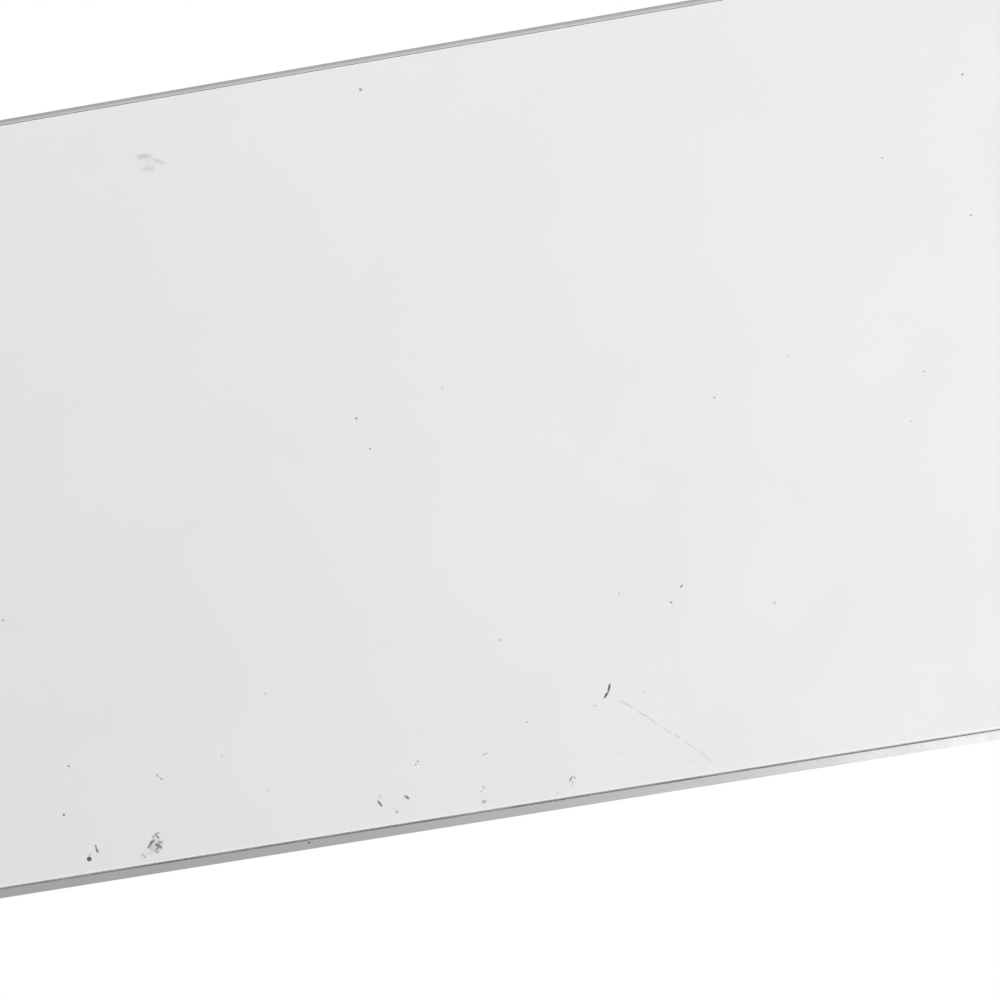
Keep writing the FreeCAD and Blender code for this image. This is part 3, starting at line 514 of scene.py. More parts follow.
ON_PATCH = Finish("on_patch_paint", "knob_plastic", (0.06, 0.42, 0.1), (0.05, 0.36, 0.08), 0.45,
                  grain=0.1, relief=0.002, mottle=1.0)


# Mesh tools. They work in millimetres


def mesh_of(name: str, bm: BMesh) -> bpy.types.Mesh:
    """Keeps a working mesh as mesh data.

    Args:
        name: The data's name.
        bm: The working mesh, which is freed.

    Returns:
        The new mesh data.
    """
    mesh = bpy.data.meshes.new(name)
    bm.to_mesh(mesh)
    bm.free()
    return mesh


def hang(name: str, data: bpy.types.ID) -> bpy.types.Object:
    """Puts data in the scene as an object.

    Args:
        name: The object's name.
        data: Its mesh, curve, lamp or camera.

    Returns:
        The new object.
    """
    made = bpy.data.objects.new(name, data)
    bpy.context.scene.collection.objects.link(made)
    return made


def rounded_slab(width: float, depth: float, low: float, high: float, radius: float,
                 segments: int) -> BMesh:
    """Makes a block with round upright corners about the Z axis.

    Args:
        width: Its size along X.
        depth: Its size along Y.
        low: Height of its bottom.
        high: Height of its top.
        radius: Corner radius.
        segments: Steps in each corner.

    Returns:
        A new closed mesh.
    """
    bm = bar(-width / 2, width / 2, -depth / 2, depth / 2, low, high)
    uprights = [e for e in bm.edges if abs(e.verts[0].co.z - e.verts[1].co.z) > TINY]
    bevel(bm, uprights, radius, segments)
    return bm


def bevel(bm: BMesh, edges: Iterable[bmesh.types.BMEdge], offset: float, segments: int,
          material: int = -1) -> None:
    """Rounds edges by an offset. The new faces get a material number, or -1 keeps their neighbours'."""
    bmesh.ops.bevel(bm, geom=list(edges), offset=offset, segments=segments, profile=0.5, affect="EDGES",
                    material=material)


def flat_face(bm: BMesh, up: float) -> BMFace:
    """The largest face that looks up, or down where up is negative."""
    bm.normal_update()
    return max((f for f in bm.faces if f.normal.z * up > LEVEL), key=lambda f: f.calc_area())


def soften(bm: BMesh, up: float, offset: float, segments: int = 3, material: int = -1) -> None:
    """Rounds the edges round the top or bottom face."""
    bevel(bm, flat_face(bm, up).edges, offset, segments, material)


def raise_face(bm: BMesh, face: BMFace, height: float) -> BMFace:
    """Extrudes one face along Z.

    Args:
        bm: The mesh.
        face: The face.
        height: How far it goes up, or down where it is negative.

    Returns:
        The new face at the end of the walls.
    """
    top = bmesh.ops.extrude_discrete_faces(bm, faces=[face])["faces"][0]
    bmesh.ops.translate(bm, vec=(0.0, 0.0, height), verts=top.verts)
    return top


def inset(bm: BMesh, face: BMFace, width: float, depth: float = 0.0, ring: int = -1) -> None:
    """Insets one face evenly.

    Args:
        bm: The mesh.
        face: The face, which gets smaller.
        width: How far its edges step in.
        depth: How far it sinks.
        ring: The material number of the new faces round it, or -1 to keep theirs.
    """
    made = bmesh.ops.inset_individual(bm, faces=[face], thickness=width, depth=-depth, use_even_offset=True)
    for band in made["faces"] if ring >= 0 else ():
        band.material_index = ring


def move(bm: BMesh, matrix: Matrix) -> None:
    """Takes a whole mesh through a matrix."""
    bmesh.ops.transform(bm, matrix=matrix, verts=bm.verts)


def merge(target: BMesh, source: BMesh, matrix: Matrix | None = None,
          material: int | None = None) -> None:
    """Adds one mesh to another and frees the first.

    Args:
        target: The mesh that grows.
        source: The mesh that is added.
        matrix: Where it goes.
        material: The material number of its faces, or None to keep theirs.
    """
    if matrix is not None:
        move(source, matrix)
    if material is not None:
        for face in source.faces:
            face.material_index = material
    mesh = mesh_of("passing", source)
    target.from_mesh(mesh)
    bpy.data.meshes.remove(mesh)


def bar(x0: float, x1: float, y0: float, y1: float, z0: float, z1: float,
        edge: float = 0.0) -> BMesh:
    """A block between two corners, with rounded edges where edge is not 0.

    Args:
        x0, x1: Its left and right.
        y0, y1: Its front and rear.
        z0, z1: Its bottom and top.
        edge: The radius of its edges.

    Returns:
        A new closed mesh.
    """
    bm = bmesh.new()
    bmesh.ops.create_cube(bm, size=1.0)
    bmesh.ops.scale(bm, vec=(x1 - x0, y1 - y0, z1 - z0), verts=bm.verts)
    bmesh.ops.translate(bm, vec=((x0 + x1) / 2, (y0 + y1) / 2, (z0 + z1) / 2), verts=bm.verts)
    if edge:
        bevel(bm, bm.edges, edge, segments=2)
    return bm


def carve(body: BMesh, cutter: BMesh) -> BMesh:
    """Cuts one closed mesh out of another.

    Args:
        body: The mesh that is cut; it is freed.
        cutter: The mesh that cuts; it is freed.

    Returns:
        A new mesh of what is left.
    """
    made = []
    for name, bm in (("carved", body), ("carver", cutter)):
        bmesh.ops.recalc_face_normals(bm, faces=bm.faces)
        made.append(hang(name, mesh_of(name, bm)))
    cut = made[0].modifiers.new("cut", "BOOLEAN")
    cut.operation = "DIFFERENCE"
    cut.solver = "EXACT"
    cut.object = made[1]
    left = bpy.data.meshes.new_from_object(made[0].evaluated_get(bpy.context.evaluated_depsgraph_get()))
    result = bmesh.new()
    result.from_mesh(left)
    for piece in made:
        mesh = piece.data
        bpy.data.objects.remove(piece)
        bpy.data.meshes.remove(mesh)
    bpy.data.meshes.remove(left)
    return result


class Workshop:
    """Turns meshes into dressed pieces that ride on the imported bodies."""

    def __init__(self) -> None:
        """Starts with no material made."""
        self.shelf = EffectShelf()
        self.materials: dict[str, bpy.types.Material] = {}

    def material(self, finish: Finish) -> bpy.types.Material:
        """The material of a finish, made the first time it is asked for.

        Args:
            finish: The finish.

        Returns:
            Its one material.
        """
        if finish.name not in self.materials:
            self.materials[finish.name] = finish.build(self.shelf)
        return self.materials[finish.name]

    def piece(self, name: str, bm: BMesh, finishes: Sequence[Finish], body: str,
              nodes: Sequence[str], weighted: bool = True) -> bpy.types.Object:
        """Makes a piece from a mesh in millimetres.

        Args:
            name: The piece's name.
            bm: Its mesh, which is freed.
            finishes: One finish for each material number.
            body: The body that it rides on.
            nodes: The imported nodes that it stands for.
            weighted: Whether large flat faces keep their own shading beside rounded edges.

        Returns:
            The new object.
        """
        bmesh.ops.scale(bm, vec=(MM, MM, MM), verts=bm.verts)
        for polygon in bm.faces:
            polygon.smooth = True
        mesh = mesh_of(name, bm)
        mesh.set_sharp_from_angle(angle=math.radians(SHARP))
        made = hang(name, mesh)
        if weighted:
            made.modifiers.new("flat_faces", "WEIGHTED_NORMAL").keep_sharp = True
        for finish in finishes:
            mesh.materials.append(self.material(finish))
        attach(made, body)
        if nodes:
            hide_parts(*nodes)
        LOG.info("%s: %d faces on %s", name, len(mesh.polygons), body)
        return made

    def dress(self, node: str, finish: Finish) -> None:
        """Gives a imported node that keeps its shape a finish.

        Args:
            node: The node's name.
            finish: Its finish.
        """
        for slot in frame["nodes"][node].material_slots:
            slot.material = self.material(finish)
        LOG.info("%s keeps its shape", node)


# The keyboard


@dataclass(frozen=True)
class KeyPlane:
    """The sloping plane of the keys, whose level 0 is the top face of the case. Sizes are in millimetres."""

    slope: float
    middle: float = 7.15

    def matrix(self, u: float = 0.0, v: float = 0.0, w: float = 0.0) -> Matrix:
        """Takes a shape about the origin to a place on the key plane."""
        turn = Matrix.Rotation(self.slope, 4, "X")
        return Matrix.Translation((0.0, 0.0, self.middle)) @ turn @ Matrix.Translation((u, v, w))

    def level_at(self, y: float, w: float) -> float:
        """Height above the desk at a distance y to the rear, w off the key plane."""
        return self.middle + y * math.tan(self.slope) + w / math.cos(self.slope)


class Corner(Enum):
    """Where a cap's print stands."""

    MIDDLE = "middle"
    LEFT = "left"
    RIGHT = "right"
    PAIR = "pair"
    NONE = "none"


Cap = tuple[str, str, Corner, float]


@dataclass(frozen=True)
class Key:
    """One key: the body that carries it, its print and its place on the key plane."""

    name: str
    body: str
    print: str
    corner: Corner
    u: float
    v: float
    width: float
    depth: float


@dataclass
class KeyField:
    """The layout of the keys, in millimetres."""

    pitch: float = 19.0
    gap: float = 2.5
    units: float = 14.5
    front: float = -54.53
    rear_depth: float = 10.5
    split: float = 0.7

    def rows(self) -> list[list[Cap]]:
        """Body, print, corner and width in pitches of every key, from the front row to the rear.

        Returns:
            One list for each row, from the left key to the right.
        """
        middle, left, right, pair = Corner.MIDDLE, Corner.LEFT, Corner.RIGHT, Corner.PAIR
        modifiers = "modifier_keys"
        space = [*self.same(modifiers, left, "fn ctrl alt"), (modifiers, "meta", left, 1.25),
                 ("key_space", "", Corner.NONE, 5), (modifiers, "meta", right, 1.25),
                 (modifiers, "alt", right, 1), ("key_arrow_left", "<", middle, 1), ("arrows", "", middle, 1),
                 ("key_arrow_right", ">", middle, 1)]
        shift = [("key_left_shift", "shift", left, 2.25), *self.letters("zxcvbnm"),
                 *self.same("punctuation_keys", pair, ",< .> /?"), ("key_right_shift", "shift", right, 2.25)]
        home = [("key_caps_lock", "caps lock", left, 1.75), *self.letters("asdfghjkl"),
                *self.same("punctuation_keys", pair, ";: '\""), ("key_return", "return", right, 1.75)]
        top = [("key_tab", "tab", left, 1.5), *self.letters("qwertyuiop"),
               *self.same("punctuation_keys", pair, "[{ ]} \\|")]
        numbers = [*self.same("number_keys", pair, "`~ 1! 2@ 3# 4$ 5% 6^ 7& 8* 9( 0) -_ =+"),
                   ("key_delete", "delete", right, 1.5)]
        rear = [("function_keys", "esc", left, 1.5),
                *self.same("function_keys", middle, " ".join(f"F{number}" for number in range(1, 14)))]
        return [space, shift, home, top, numbers, rear]

    def letters(self, row: str) -> list[Cap]:
        """Letter keys one pitch wide."""
        return [("key_" + letter, letter.upper(), Corner.MIDDLE, 1) for letter in row]

    def same(self, body: str, corner: Corner, prints: str) -> list[Cap]:
        """Keys of one body, one pitch wide, from their prints with spaces between them."""
        return [(body, text, corner, 1) for text in prints.split()]

    def cells(self) -> Iterator[Key]:
        """Every full cell of the field, with the two half-height arrows as one.

        Returns:
            The cells row by row, from the front.
        """
        rows = self.rows()
        for number, row in enumerate(rows):
            depth = self.rear_depth if row is rows[-1] else self.pitch - self.gap
            left = (self.gap - self.units * self.pitch) / 2
            for place, (body, text, corner, units) in enumerate(row):
                width = units * self.pitch - self.gap
                name = body if body.startswith("key_") else f"{body[:-1]}_{number}_{place}"
                v = self.front + number * self.pitch + depth / 2
                yield Key(name, body, text, corner, left + width / 2, v, width, depth)
                left += units * self.pitch

    def keys(self) -> Iterator[Key]:
        """Every key, with the shared cell split into its up and down arrows.

        Returns:
            The keys row by row, from the front.
        """
        for cell in self.cells():
            if cell.body != "arrows":
                yield cell
                continue
            half = (cell.depth - self.split) / 2
            for side, name, text in ((-1, "key_arrow_down", "v"), (1, "key_arrow_up", "^")):
                v = cell.v + side * (cell.depth - half) / 2
                yield Key(name, name, text, Corner.MIDDLE, cell.u, v, cell.width, half)


class Printer:
    """Cuts the thin print of the caps."""

    thinner: float = -0.004
    steps: int = 3
    arrow_radius: float = 1.1

    def __init__(self) -> None:
        """Starts with no glyph cut."""
        self.cut: dict[tuple[str, float], bpy.types.Mesh] = {}

    def text(self, body: str, size: float) -> BMesh:
        """Makes a line of print.

        Args:
            body: The characters.
            size: Their size in millimetres.

        Returns:
            A flat mesh about the middle of the line.
        """
        if (body, size) not in self.cut:
            curve = bpy.data.curves.new("print", "FONT")
            curve.body = body
            curve.size = size
            curve.offset = self.thinner * size
            curve.resolution_u = self.steps
            holder = hang("print", curve)
            bpy.context.view_layer.update()
            self.cut[body, size] = bpy.data.meshes.new_from_object(
                holder.evaluated_get(bpy.context.evaluated_depsgraph_get()))
            bpy.data.objects.remove(holder)
            bpy.data.curves.remove(curve)
        bm = bmesh.new()
        bm.from_mesh(self.cut[body, size])
        across = [v.co.x for v in bm.verts]
        up = [v.co.y for v in bm.verts]
        middle = Vector(((min(across) + max(across)) / 2, (min(up) + max(up)) / 2, 0.0))
        bmesh.ops.translate(bm, vec=-middle, verts=bm.verts)
        return bm

    def arrow(self, angle: float) -> BMesh:
        """A small triangle that points along an angle in degrees from +X.

        Args:
            angle: Where it points.

        Returns:
            A flat mesh about the origin.
        """
        bm = bmesh.new()
        bmesh.ops.create_circle(bm, cap_ends=True, radius=self.arrow_radius, segments=3)
        move(bm, Matrix.Rotation(math.radians(angle - 90), 4, "Z"))
        return bm

    def clear(self) -> None:
        """Removes the cut glyphs once every cap has its print."""
        for mesh in self.cut.values():
            bpy.data.meshes.remove(mesh)


@dataclass
class KeySet:
    """The caps with their print, and the scissors and domes under them. Sizes are in millimetres."""

    shop: Workshop
    plane: KeyPlane
    layout: KeyField
    proud: float = 0.88
    below: float = -0.5
    radius: float = 1.5
    draft: float = 0.2
    edge: float = 0.28
    membrane: float = -2.0
    frame_top: float = -0.55
    inset: float = 2.0
    half_width: float = 6.25
    arm: float = 1.0
    thick: float = 0.4
    lower_edge: float = 0.08
    dish: tuple[Pair, ...] = ((0.3, 0.012), (0.4, 0.025), (0.4, 0.02))
    home_bar: Triple = (3.2, 0.4, 0.12)
    home_inset: float = 3.75
    print_depth: float = 0.05
    single_print: float = 5.6
    small_print: float = 2.7
    pair_print: float = 4.2
    pair_step: float = 2.7
    word_print: float = 2.9
    word_margin: float = 2.3
    word_rise: float = 2.9
    lamp_radius: float = 0.55
    lamp_inset: float = 2.9
    crossbar: float = 0.8
    overlap: float = 0.1
    hub_radius: float = 0.55
    dome_base: float = 4.0
    dome_room: float = 2.1
    dome_profile: tuple[Pair, ...] = ((0.12, 1.0), (0.7, 0.62), (0.18, 0.88))
    folded: float = 0.33
    printer: Printer = field(default_factory=Printer)

    def build(self) -> None:
        """Makes every cap, then the mechanisms of each moving body."""
        bodies: dict[str, list[Key]] = {}
        for key in self.layout.keys():
            self.cap(key)
            bodies.setdefault(key.body, []).append(key)
        self.printer.clear()
        for body, keys in bodies.items():
            self.mechanism(body, keys)

    def cap(self, key: Key) -> None:
        """Makes one cap: a drafted slab with soft edges, a shallow dish and its print.

        Args:
            key: The key.
        """
        bm = rounded_slab(key.width, key.depth, self.below, self.proud, self.radius, segments=7)
        lean = ((key.width - 2 * self.draft) / key.width, (key.depth - 2 * self.draft) / key.depth, 1.0)
        bmesh.ops.scale(bm, vec=lean, verts=[v for v in bm.verts if v.co.z > 0])
        soften(bm, 1, self.edge, segments=4)
        soften(bm, -1, self.lower_edge, segments=1)
        top = flat_face(bm, 1)
        for width, depth in self.dish:
            inset(bm, top, width, depth)
        if key.print in ("F", "J"):
            length, width, height = self.home_bar
            middle = self.home_inset - key.depth / 2
            merge(bm, bar(-length / 2, length / 2, middle - width / 2, middle + width / 2,
                          self.proud - width / 2, self.proud + height, self.lower_edge))
        level = self.proud - self.print_depth
        for glyph, x, y in self.print_of(key):
            merge(bm, glyph, Matrix.Translation((x, y, level)), material=1)
        if key.name == "key_caps_lock":
            lamp = bmesh.new()
            bmesh.ops.create_circle(lamp, cap_ends=True, radius=self.lamp_radius, segments=20)
            place = (self.lamp_inset - key.width / 2, key.depth / 2 - self.lamp_inset, level)
            merge(bm, lamp, Matrix.Translation(place), material=2)
        move(bm, self.plane.matrix(key.u, key.v))
        name = "cap_" + key.name.removeprefix("key_")
        self.shop.piece(name, bm, (CAP, LEGEND, LAMP), key.body, [key.body])

    def print_of(self, key: Key) -> list[tuple[BMesh, float, float]]:
        """The print of a cap, each part with its place.

        Args:
            key: The key.

        Returns:
            Each glyph's mesh with its x and y from the middle of the cap.
        """
        arrows = {"<": 180.0, ">": 0.0, "^": 90.0, "v": 270.0}
        if key.corner is Corner.NONE:
            return []
        if key.body.startswith("key_arrow"):
            return [(self.printer.arrow(arrows[key.print]), 0.0, 0.0)]
        if key.corner is Corner.PAIR:
            return [(self.printer.text(sign, self.pair_print), 0.0, side * self.pair_step)
                    for sign, side in zip(key.print, (-1, 1))]
        if key.corner is Corner.MIDDLE:
            size = self.small_print if key.body == "function_keys" else self.single_print
            return [(self.printer.text(key.print, size), 0.0, 0.0)]
        bm = self.printer.text(key.print, self.word_print)
        half = max(v.co.x for v in bm.verts)
        x = key.width / 2 - self.word_margin - half
        y = self.word_rise - key.depth / 2
        return [(bm, -x if key.corner is Corner.LEFT else x, y)]

    def mechanism(self, body: str, keys: Sequence[Key]) -> None:
        """Makes the scissor frames and the domes of one moving body.

        Args:
            body: The moving body.
            keys: The keys that it carries.
        """
        frames = bmesh.new()
        domes = bmesh.new()
        for key in keys:
            place = self.plane.matrix(key.u, key.v)
            length = key.depth - 2 * self.inset
            for lean in (1, -1):
                merge(frames, self.scissor(length, lean), place)
            merge(domes, self.dome(min(self.dome_base, length - self.dome_room)), place)
        normal = self.plane.matrix().to_3x3() @ Vector((0.0, 0.0, 1.0))
        anchor = self.plane.matrix(keys[0].u, keys[0].v, self.membrane).translation * MM
        scissor_nodes = ("scissor_outer_frames", "scissor_inner_frames")
        for kind, bm, finish, nodes in (("scissors", frames, SCISSOR, scissor_nodes),
                                        ("domes", domes, DOME, ("rubber_domes",))):
            name = f"{kind}_of_{body.removeprefix('key_')}"
            piece = self.shop.piece(name, bm, [finish], "housing", nodes, weighted=False)
            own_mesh(piece)

    def scissor(self, length: float, lean: int) -> BMesh:
        """One hinged frame, with a crossbar at one end and hubs at its middle, tilted up to the cap.

        Args:
            length: Its length from front to rear.
            lean: 1 where it rises to the rear, and -1 to the front.

        Returns:
            The frame about the middle of its key.
        """
        half_width = self.half_width - (self.arm if lean < 0 else 0.0)
        half = length / 2
        thick = self.thick / 2
        bm = bar(-half_width, half_width, half - self.crossbar, half, -thick, thick, self.lower_edge)
        for side in (-1, 1):
            x0, x1 = sorted((side * half_width, side * (half_width - self.arm)))
            merge(bm, bar(x0, x1, -half, half - self.crossbar + self.overlap, -thick, thick, self.lower_edge))
            hub = bmesh.new()
            bmesh.ops.create_cone(hub, cap_ends=True, radius1=self.hub_radius, radius2=self.hub_radius,
                                  depth=self.arm, segments=10)
            turn = Matrix.Translation(((x0 + x1) / 2, 0.0, 0.0)) @ Matrix.Rotation(math.pi / 2, 4, "Y")
            merge(bm, hub, turn)
        rise = self.frame_top - self.membrane
        tilt = math.asin(rise / math.hypot(length, self.thick)) - math.atan(self.thick / length)
        matrix = Matrix.Translation((0.0, 0.0, self.membrane + rise / 2))
        if lean < 0:
            matrix = matrix @ Matrix.Rotation(math.pi, 4, "Z")
        move(bm, matrix @ Matrix.Rotation(tilt, 4, "X"))
        return bm

    def dome(self, base: float) -> BMesh:
        """A spring dome: a round skirt, a sloping wall and a flat head.

        Args:
            base: The diameter of its skirt.

        Returns:
            The dome about the middle of its key.
        """
        bm = bmesh.new()
        bmesh.ops.create_circle(bm, cap_ends=True, radius=base / 2, segments=16)
        face = bm.faces[:][0]
        bmesh.ops.translate(bm, vec=(0.0, 0.0, self.membrane), verts=bm.verts)
        rise = self.frame_top - self.membrane
        for share, size in self.dome_profile:
            face = raise_face(bm, face, rise * share)
            middle = face.calc_center_median()
            for vert in face.verts:
                vert.co.xy = middle.xy + (vert.co.xy - middle.xy) * size
        return bm


@dataclass
class Housing:
    """The case, its cover and the feet. Sizes are in millimetres."""

    shop: Workshop
    plane: KeyPlane
    layout: KeyField
    width: float = 279.0
    depth: float = 114.898
    corner: float = 5.0
    foot: float = 0.5
    rim: float = 1.3
    rear_rim: float = 0.8
    wall: float = 2.2
    ledge: float = 1.45
    web: float = 0.9
    seam: float = 0.27
    rear_seam: float = 0.03
    cover_corner: float = 3.43
    cover: float = 0.8
    clearance: float = 0.35
    cut_edge: float = 0.1
    window_corner: float = 1.85
    window_depth: float = 1.6
    sloping: Pair = (0.1, 0.95)
    blank: float = 9.0
    top_edge: float = 0.32
    bottom_edge: float = 0.06
    cover_edge: float = 0.15
    foot_radius: float = 3.2
    foot_inset: float = 6.5
    pad_step: float = 0.4
    pad_edge: float = 0.15
    foot_ring: float = 0.22
    ring_edge: float = 0.08
    film_gap: float = 0.005
    film_step: float = 0.0004
    film_fade: float = 0.3
    socket_level: float = 4.674
    switch_x: float = 118.0
    opening_span: Pair = (-1.0, 4.0)
    inlet_opening: Triple = (9.2, 3.2, 1.59)
    switch_opening: Triple = (7.1, 2.7, 0.5)

    def build(self) -> None:
        """Makes the case, the cover and the feet."""
        self.shop.piece("case_top", self.case(), (ALUMINIUM, CUT_EDGE_AND_LIT_LEDGE, RIM_PAINTED_SHADE), "housing", ["top_case"])
        self.shop.piece("underside_cover", self.cover_plate(), (COVER, COVER_EDGE_HIGHLIGHT), "housing",
                        ["bottom_cover"])
        self.shop.piece("cover_dirt", self.dirt(), [DIRT], "housing", [], weighted=False)
        self.shop.piece("feet", self.feet(), [FOOT], "housing", ["rubber_feet"])

    def case(self) -> BMesh:
        """The wedge: outside, recess, hollow, key windows and the two rear openings.

        Returns:
            The closed mesh of the case.
        """
        bm = rounded_slab(self.width, self.depth, self.foot, self.blank, self.corner, segments=10)
        for vert in bm.verts:
            if vert.co.z > self.blank / 2:
                vert.co.z = self.plane.level_at(vert.co.y, 0.0)
        soften(bm, 1, self.top_edge, material=1)
        # The lower edge and the rim ring take the darker rim metal, which is painted shade
        soften(bm, -1, self.bottom_edge, segments=2, material=2)
        floor = flat_face(bm, -1)
        inset(bm, floor, self.rim - self.bottom_edge, ring=2)
        self.widen(floor, 1)
        # The recess walls and ledge take the brighter cut-edge metal as painted light, so the seam in front
        # of them looks less shaded
        floor.material_index = 1
        roof = raise_face(bm, floor, self.ledge - self.foot)
        inset(bm, roof, self.wall - self.rim)
        self.widen(roof, -1)
        roof.material_index = 0
        web = raise_face(bm, roof, self.web)
        for vert in web.verts:
            vert.co.z = self.plane.level_at(vert.co.y, -self.web)
        bm = carve(bm, self.windows())
        return carve(bm, self.rear_openings())

    def widen(self, face: BMFace, way: int) -> None:
        """Moves a recess's rear edge from the width of the other rims to its own, or back.

        Args:
            face: The recess's face.
            way: 1 to its own width, and -1 back.
        """
        for vert in face.verts:
            if vert.co.y > 0:
                vert.co.y += way * (self.rim - self.rear_rim)

    def windows(self) -> BMesh:
        """The cutter of all key windows, flared where it leaves the case so that it cuts a bright edge.

        Returns:
            The cutter's mesh.
        """
        cutter = bmesh.new()
        flare = 3 * self.cut_edge
        steep, flat = self.sloping
        for cell in self.layout.cells():
            width = cell.width + 2 * self.clearance
            depth = cell.depth + 2 * self.clearance
            bm = rounded_slab(width, depth, -self.window_depth, -self.cut_edge, self.window_corner,
                              segments=7)
            top = raise_face(bm, flat_face(bm, 1), flare)
            spread = ((width + 2 * flare) / width, (depth + 2 * flare) / depth, 1.0)
            bmesh.ops.scale(bm, vec=spread, verts=top.verts)
            for face in bm.faces:
                face.material_index = int(steep < abs(face.normal.z) < flat)
            merge(cutter, bm, self.plane.matrix(cell.u, cell.v))
        return cutter

    def rear_openings(self) -> BMesh:
        """The cutter of the charging inlet and of the switch slot.

        Returns:
            The cutter's mesh.
        """
        cutter = bmesh.new()
        upright = Matrix.Rotation(math.pi / 2, 4, "X")
        rear = self.depth / 2
        for x, (width, height, radius) in ((0.0, self.inlet_opening), (self.switch_x, self.switch_opening)):
            bm = rounded_slab(width, height, *self.opening_span, radius, segments=8)
            merge(cutter, bm, Matrix.Translation((x, rear, self.socket_level)) @ upright)
        return cutter

    def cover_plate(self) -> BMesh:
        """The flat cover, with a small radius round its outer edge; that radius and a thin ring inside it
        take a lighter, glossier copy of the cover plastic as a painted highlight, except along the rear.

        Returns:
            The closed mesh of the cover.
        """
        front = self.rim + self.seam - self.depth / 2
        rear = self.depth / 2 - self.rear_rim - self.rear_seam
        bm = rounded_slab(self.width - 2 * (self.rim + self.seam), rear - front, self.foot,
                          self.foot + self.cover, self.cover_corner, segments=10)
        bmesh.ops.translate(bm, vec=(0.0, (front + rear) / 2, 0.0), verts=bm.verts)
        soften(bm, -1, self.cover_edge, material=1)
        inset(bm, flat_face(bm, -1), self.cover_edge, ring=1)
        # Along the rear the edge keeps the plain cover plastic, with no painted highlight
        for face in bm.faces:
            if face.calc_center_median().y > rear - self.rim:
                face.material_index = 0
        return bm

    def dirt(self) -> BMesh:
        """The marks of use: one thin oval each, which carries its falloff, strength and raggedness.

        Returns:
            The flat mesh of all marks, just under the cover.
        """
        bm = bmesh.new()
        film = bm.verts.layers.float_color.new("film")
        for number, mark in enumerate(MARKS):
            ring = bmesh.ops.create_circle(bm, cap_ends=True, radius=0.5, segments=14)["verts"]
            for vert in ring:
                vert[film] = (0.0, mark.strength, mark.ragged, 1.0)
            face = ring[0].link_faces[0]
            inset(bm, face, self.film_fade)
            for vert in face.verts:
                vert[film] = (1.0, mark.strength, mark.ragged, 1.0)
            oval = Matrix.Diagonal((mark.length, mark.width, 1.0, 1.0))
            place = Matrix.Translation((mark.x, mark.y, self.foot - self.film_gap - self.film_step * number))
            turn = Matrix.Rotation(math.radians(mark.angle), 4, "Z")
            bmesh.ops.transform(bm, matrix=place @ turn @ oval, verts=[*ring, *face.verts])
        bmesh.ops.reverse_faces(bm, faces=bm.faces)
        return bm

    def feet(self) -> BMesh:
        """Four round feet: a base ring and a pad with a softer edge, which stands on the desk.

        Returns:
            The mesh of all four.
        """
        feet = bmesh.new()
        for x in (-1, 1):
            for y in (-1, 1):
                bm = self.disc(self.foot_radius - self.pad_step, self.foot, self.pad_edge, segments=3)
                ring = self.disc(self.foot_radius, self.foot_ring, self.ring_edge, segments=2)
                merge(bm, ring, Matrix.Translation((0.0, 0.0, (self.foot - self.foot_ring) / 2)))
                place = (x * (self.width / 2 - self.foot_inset), y * (self.depth / 2 - self.foot_inset),
                         self.foot / 2)
                merge(feet, bm, Matrix.Translation(place))
        return feet

    def disc(self, radius: float, height: float, edge: float, segments: int) -> BMesh:
        """Makes an upright disc about the origin with a soft lower edge.

        Args:
            radius: Its radius.
            height: Its height.
            edge: The radius of its lower edge.
            segments: Steps across that edge.

        Returns:
            A new closed mesh.
        """
        bm = bmesh.new()
        bmesh.ops.create_cone(bm, cap_ends=True, radius1=radius, radius2=radius, depth=height, segments=48)
        soften(bm, -1, edge, segments)
        return bm


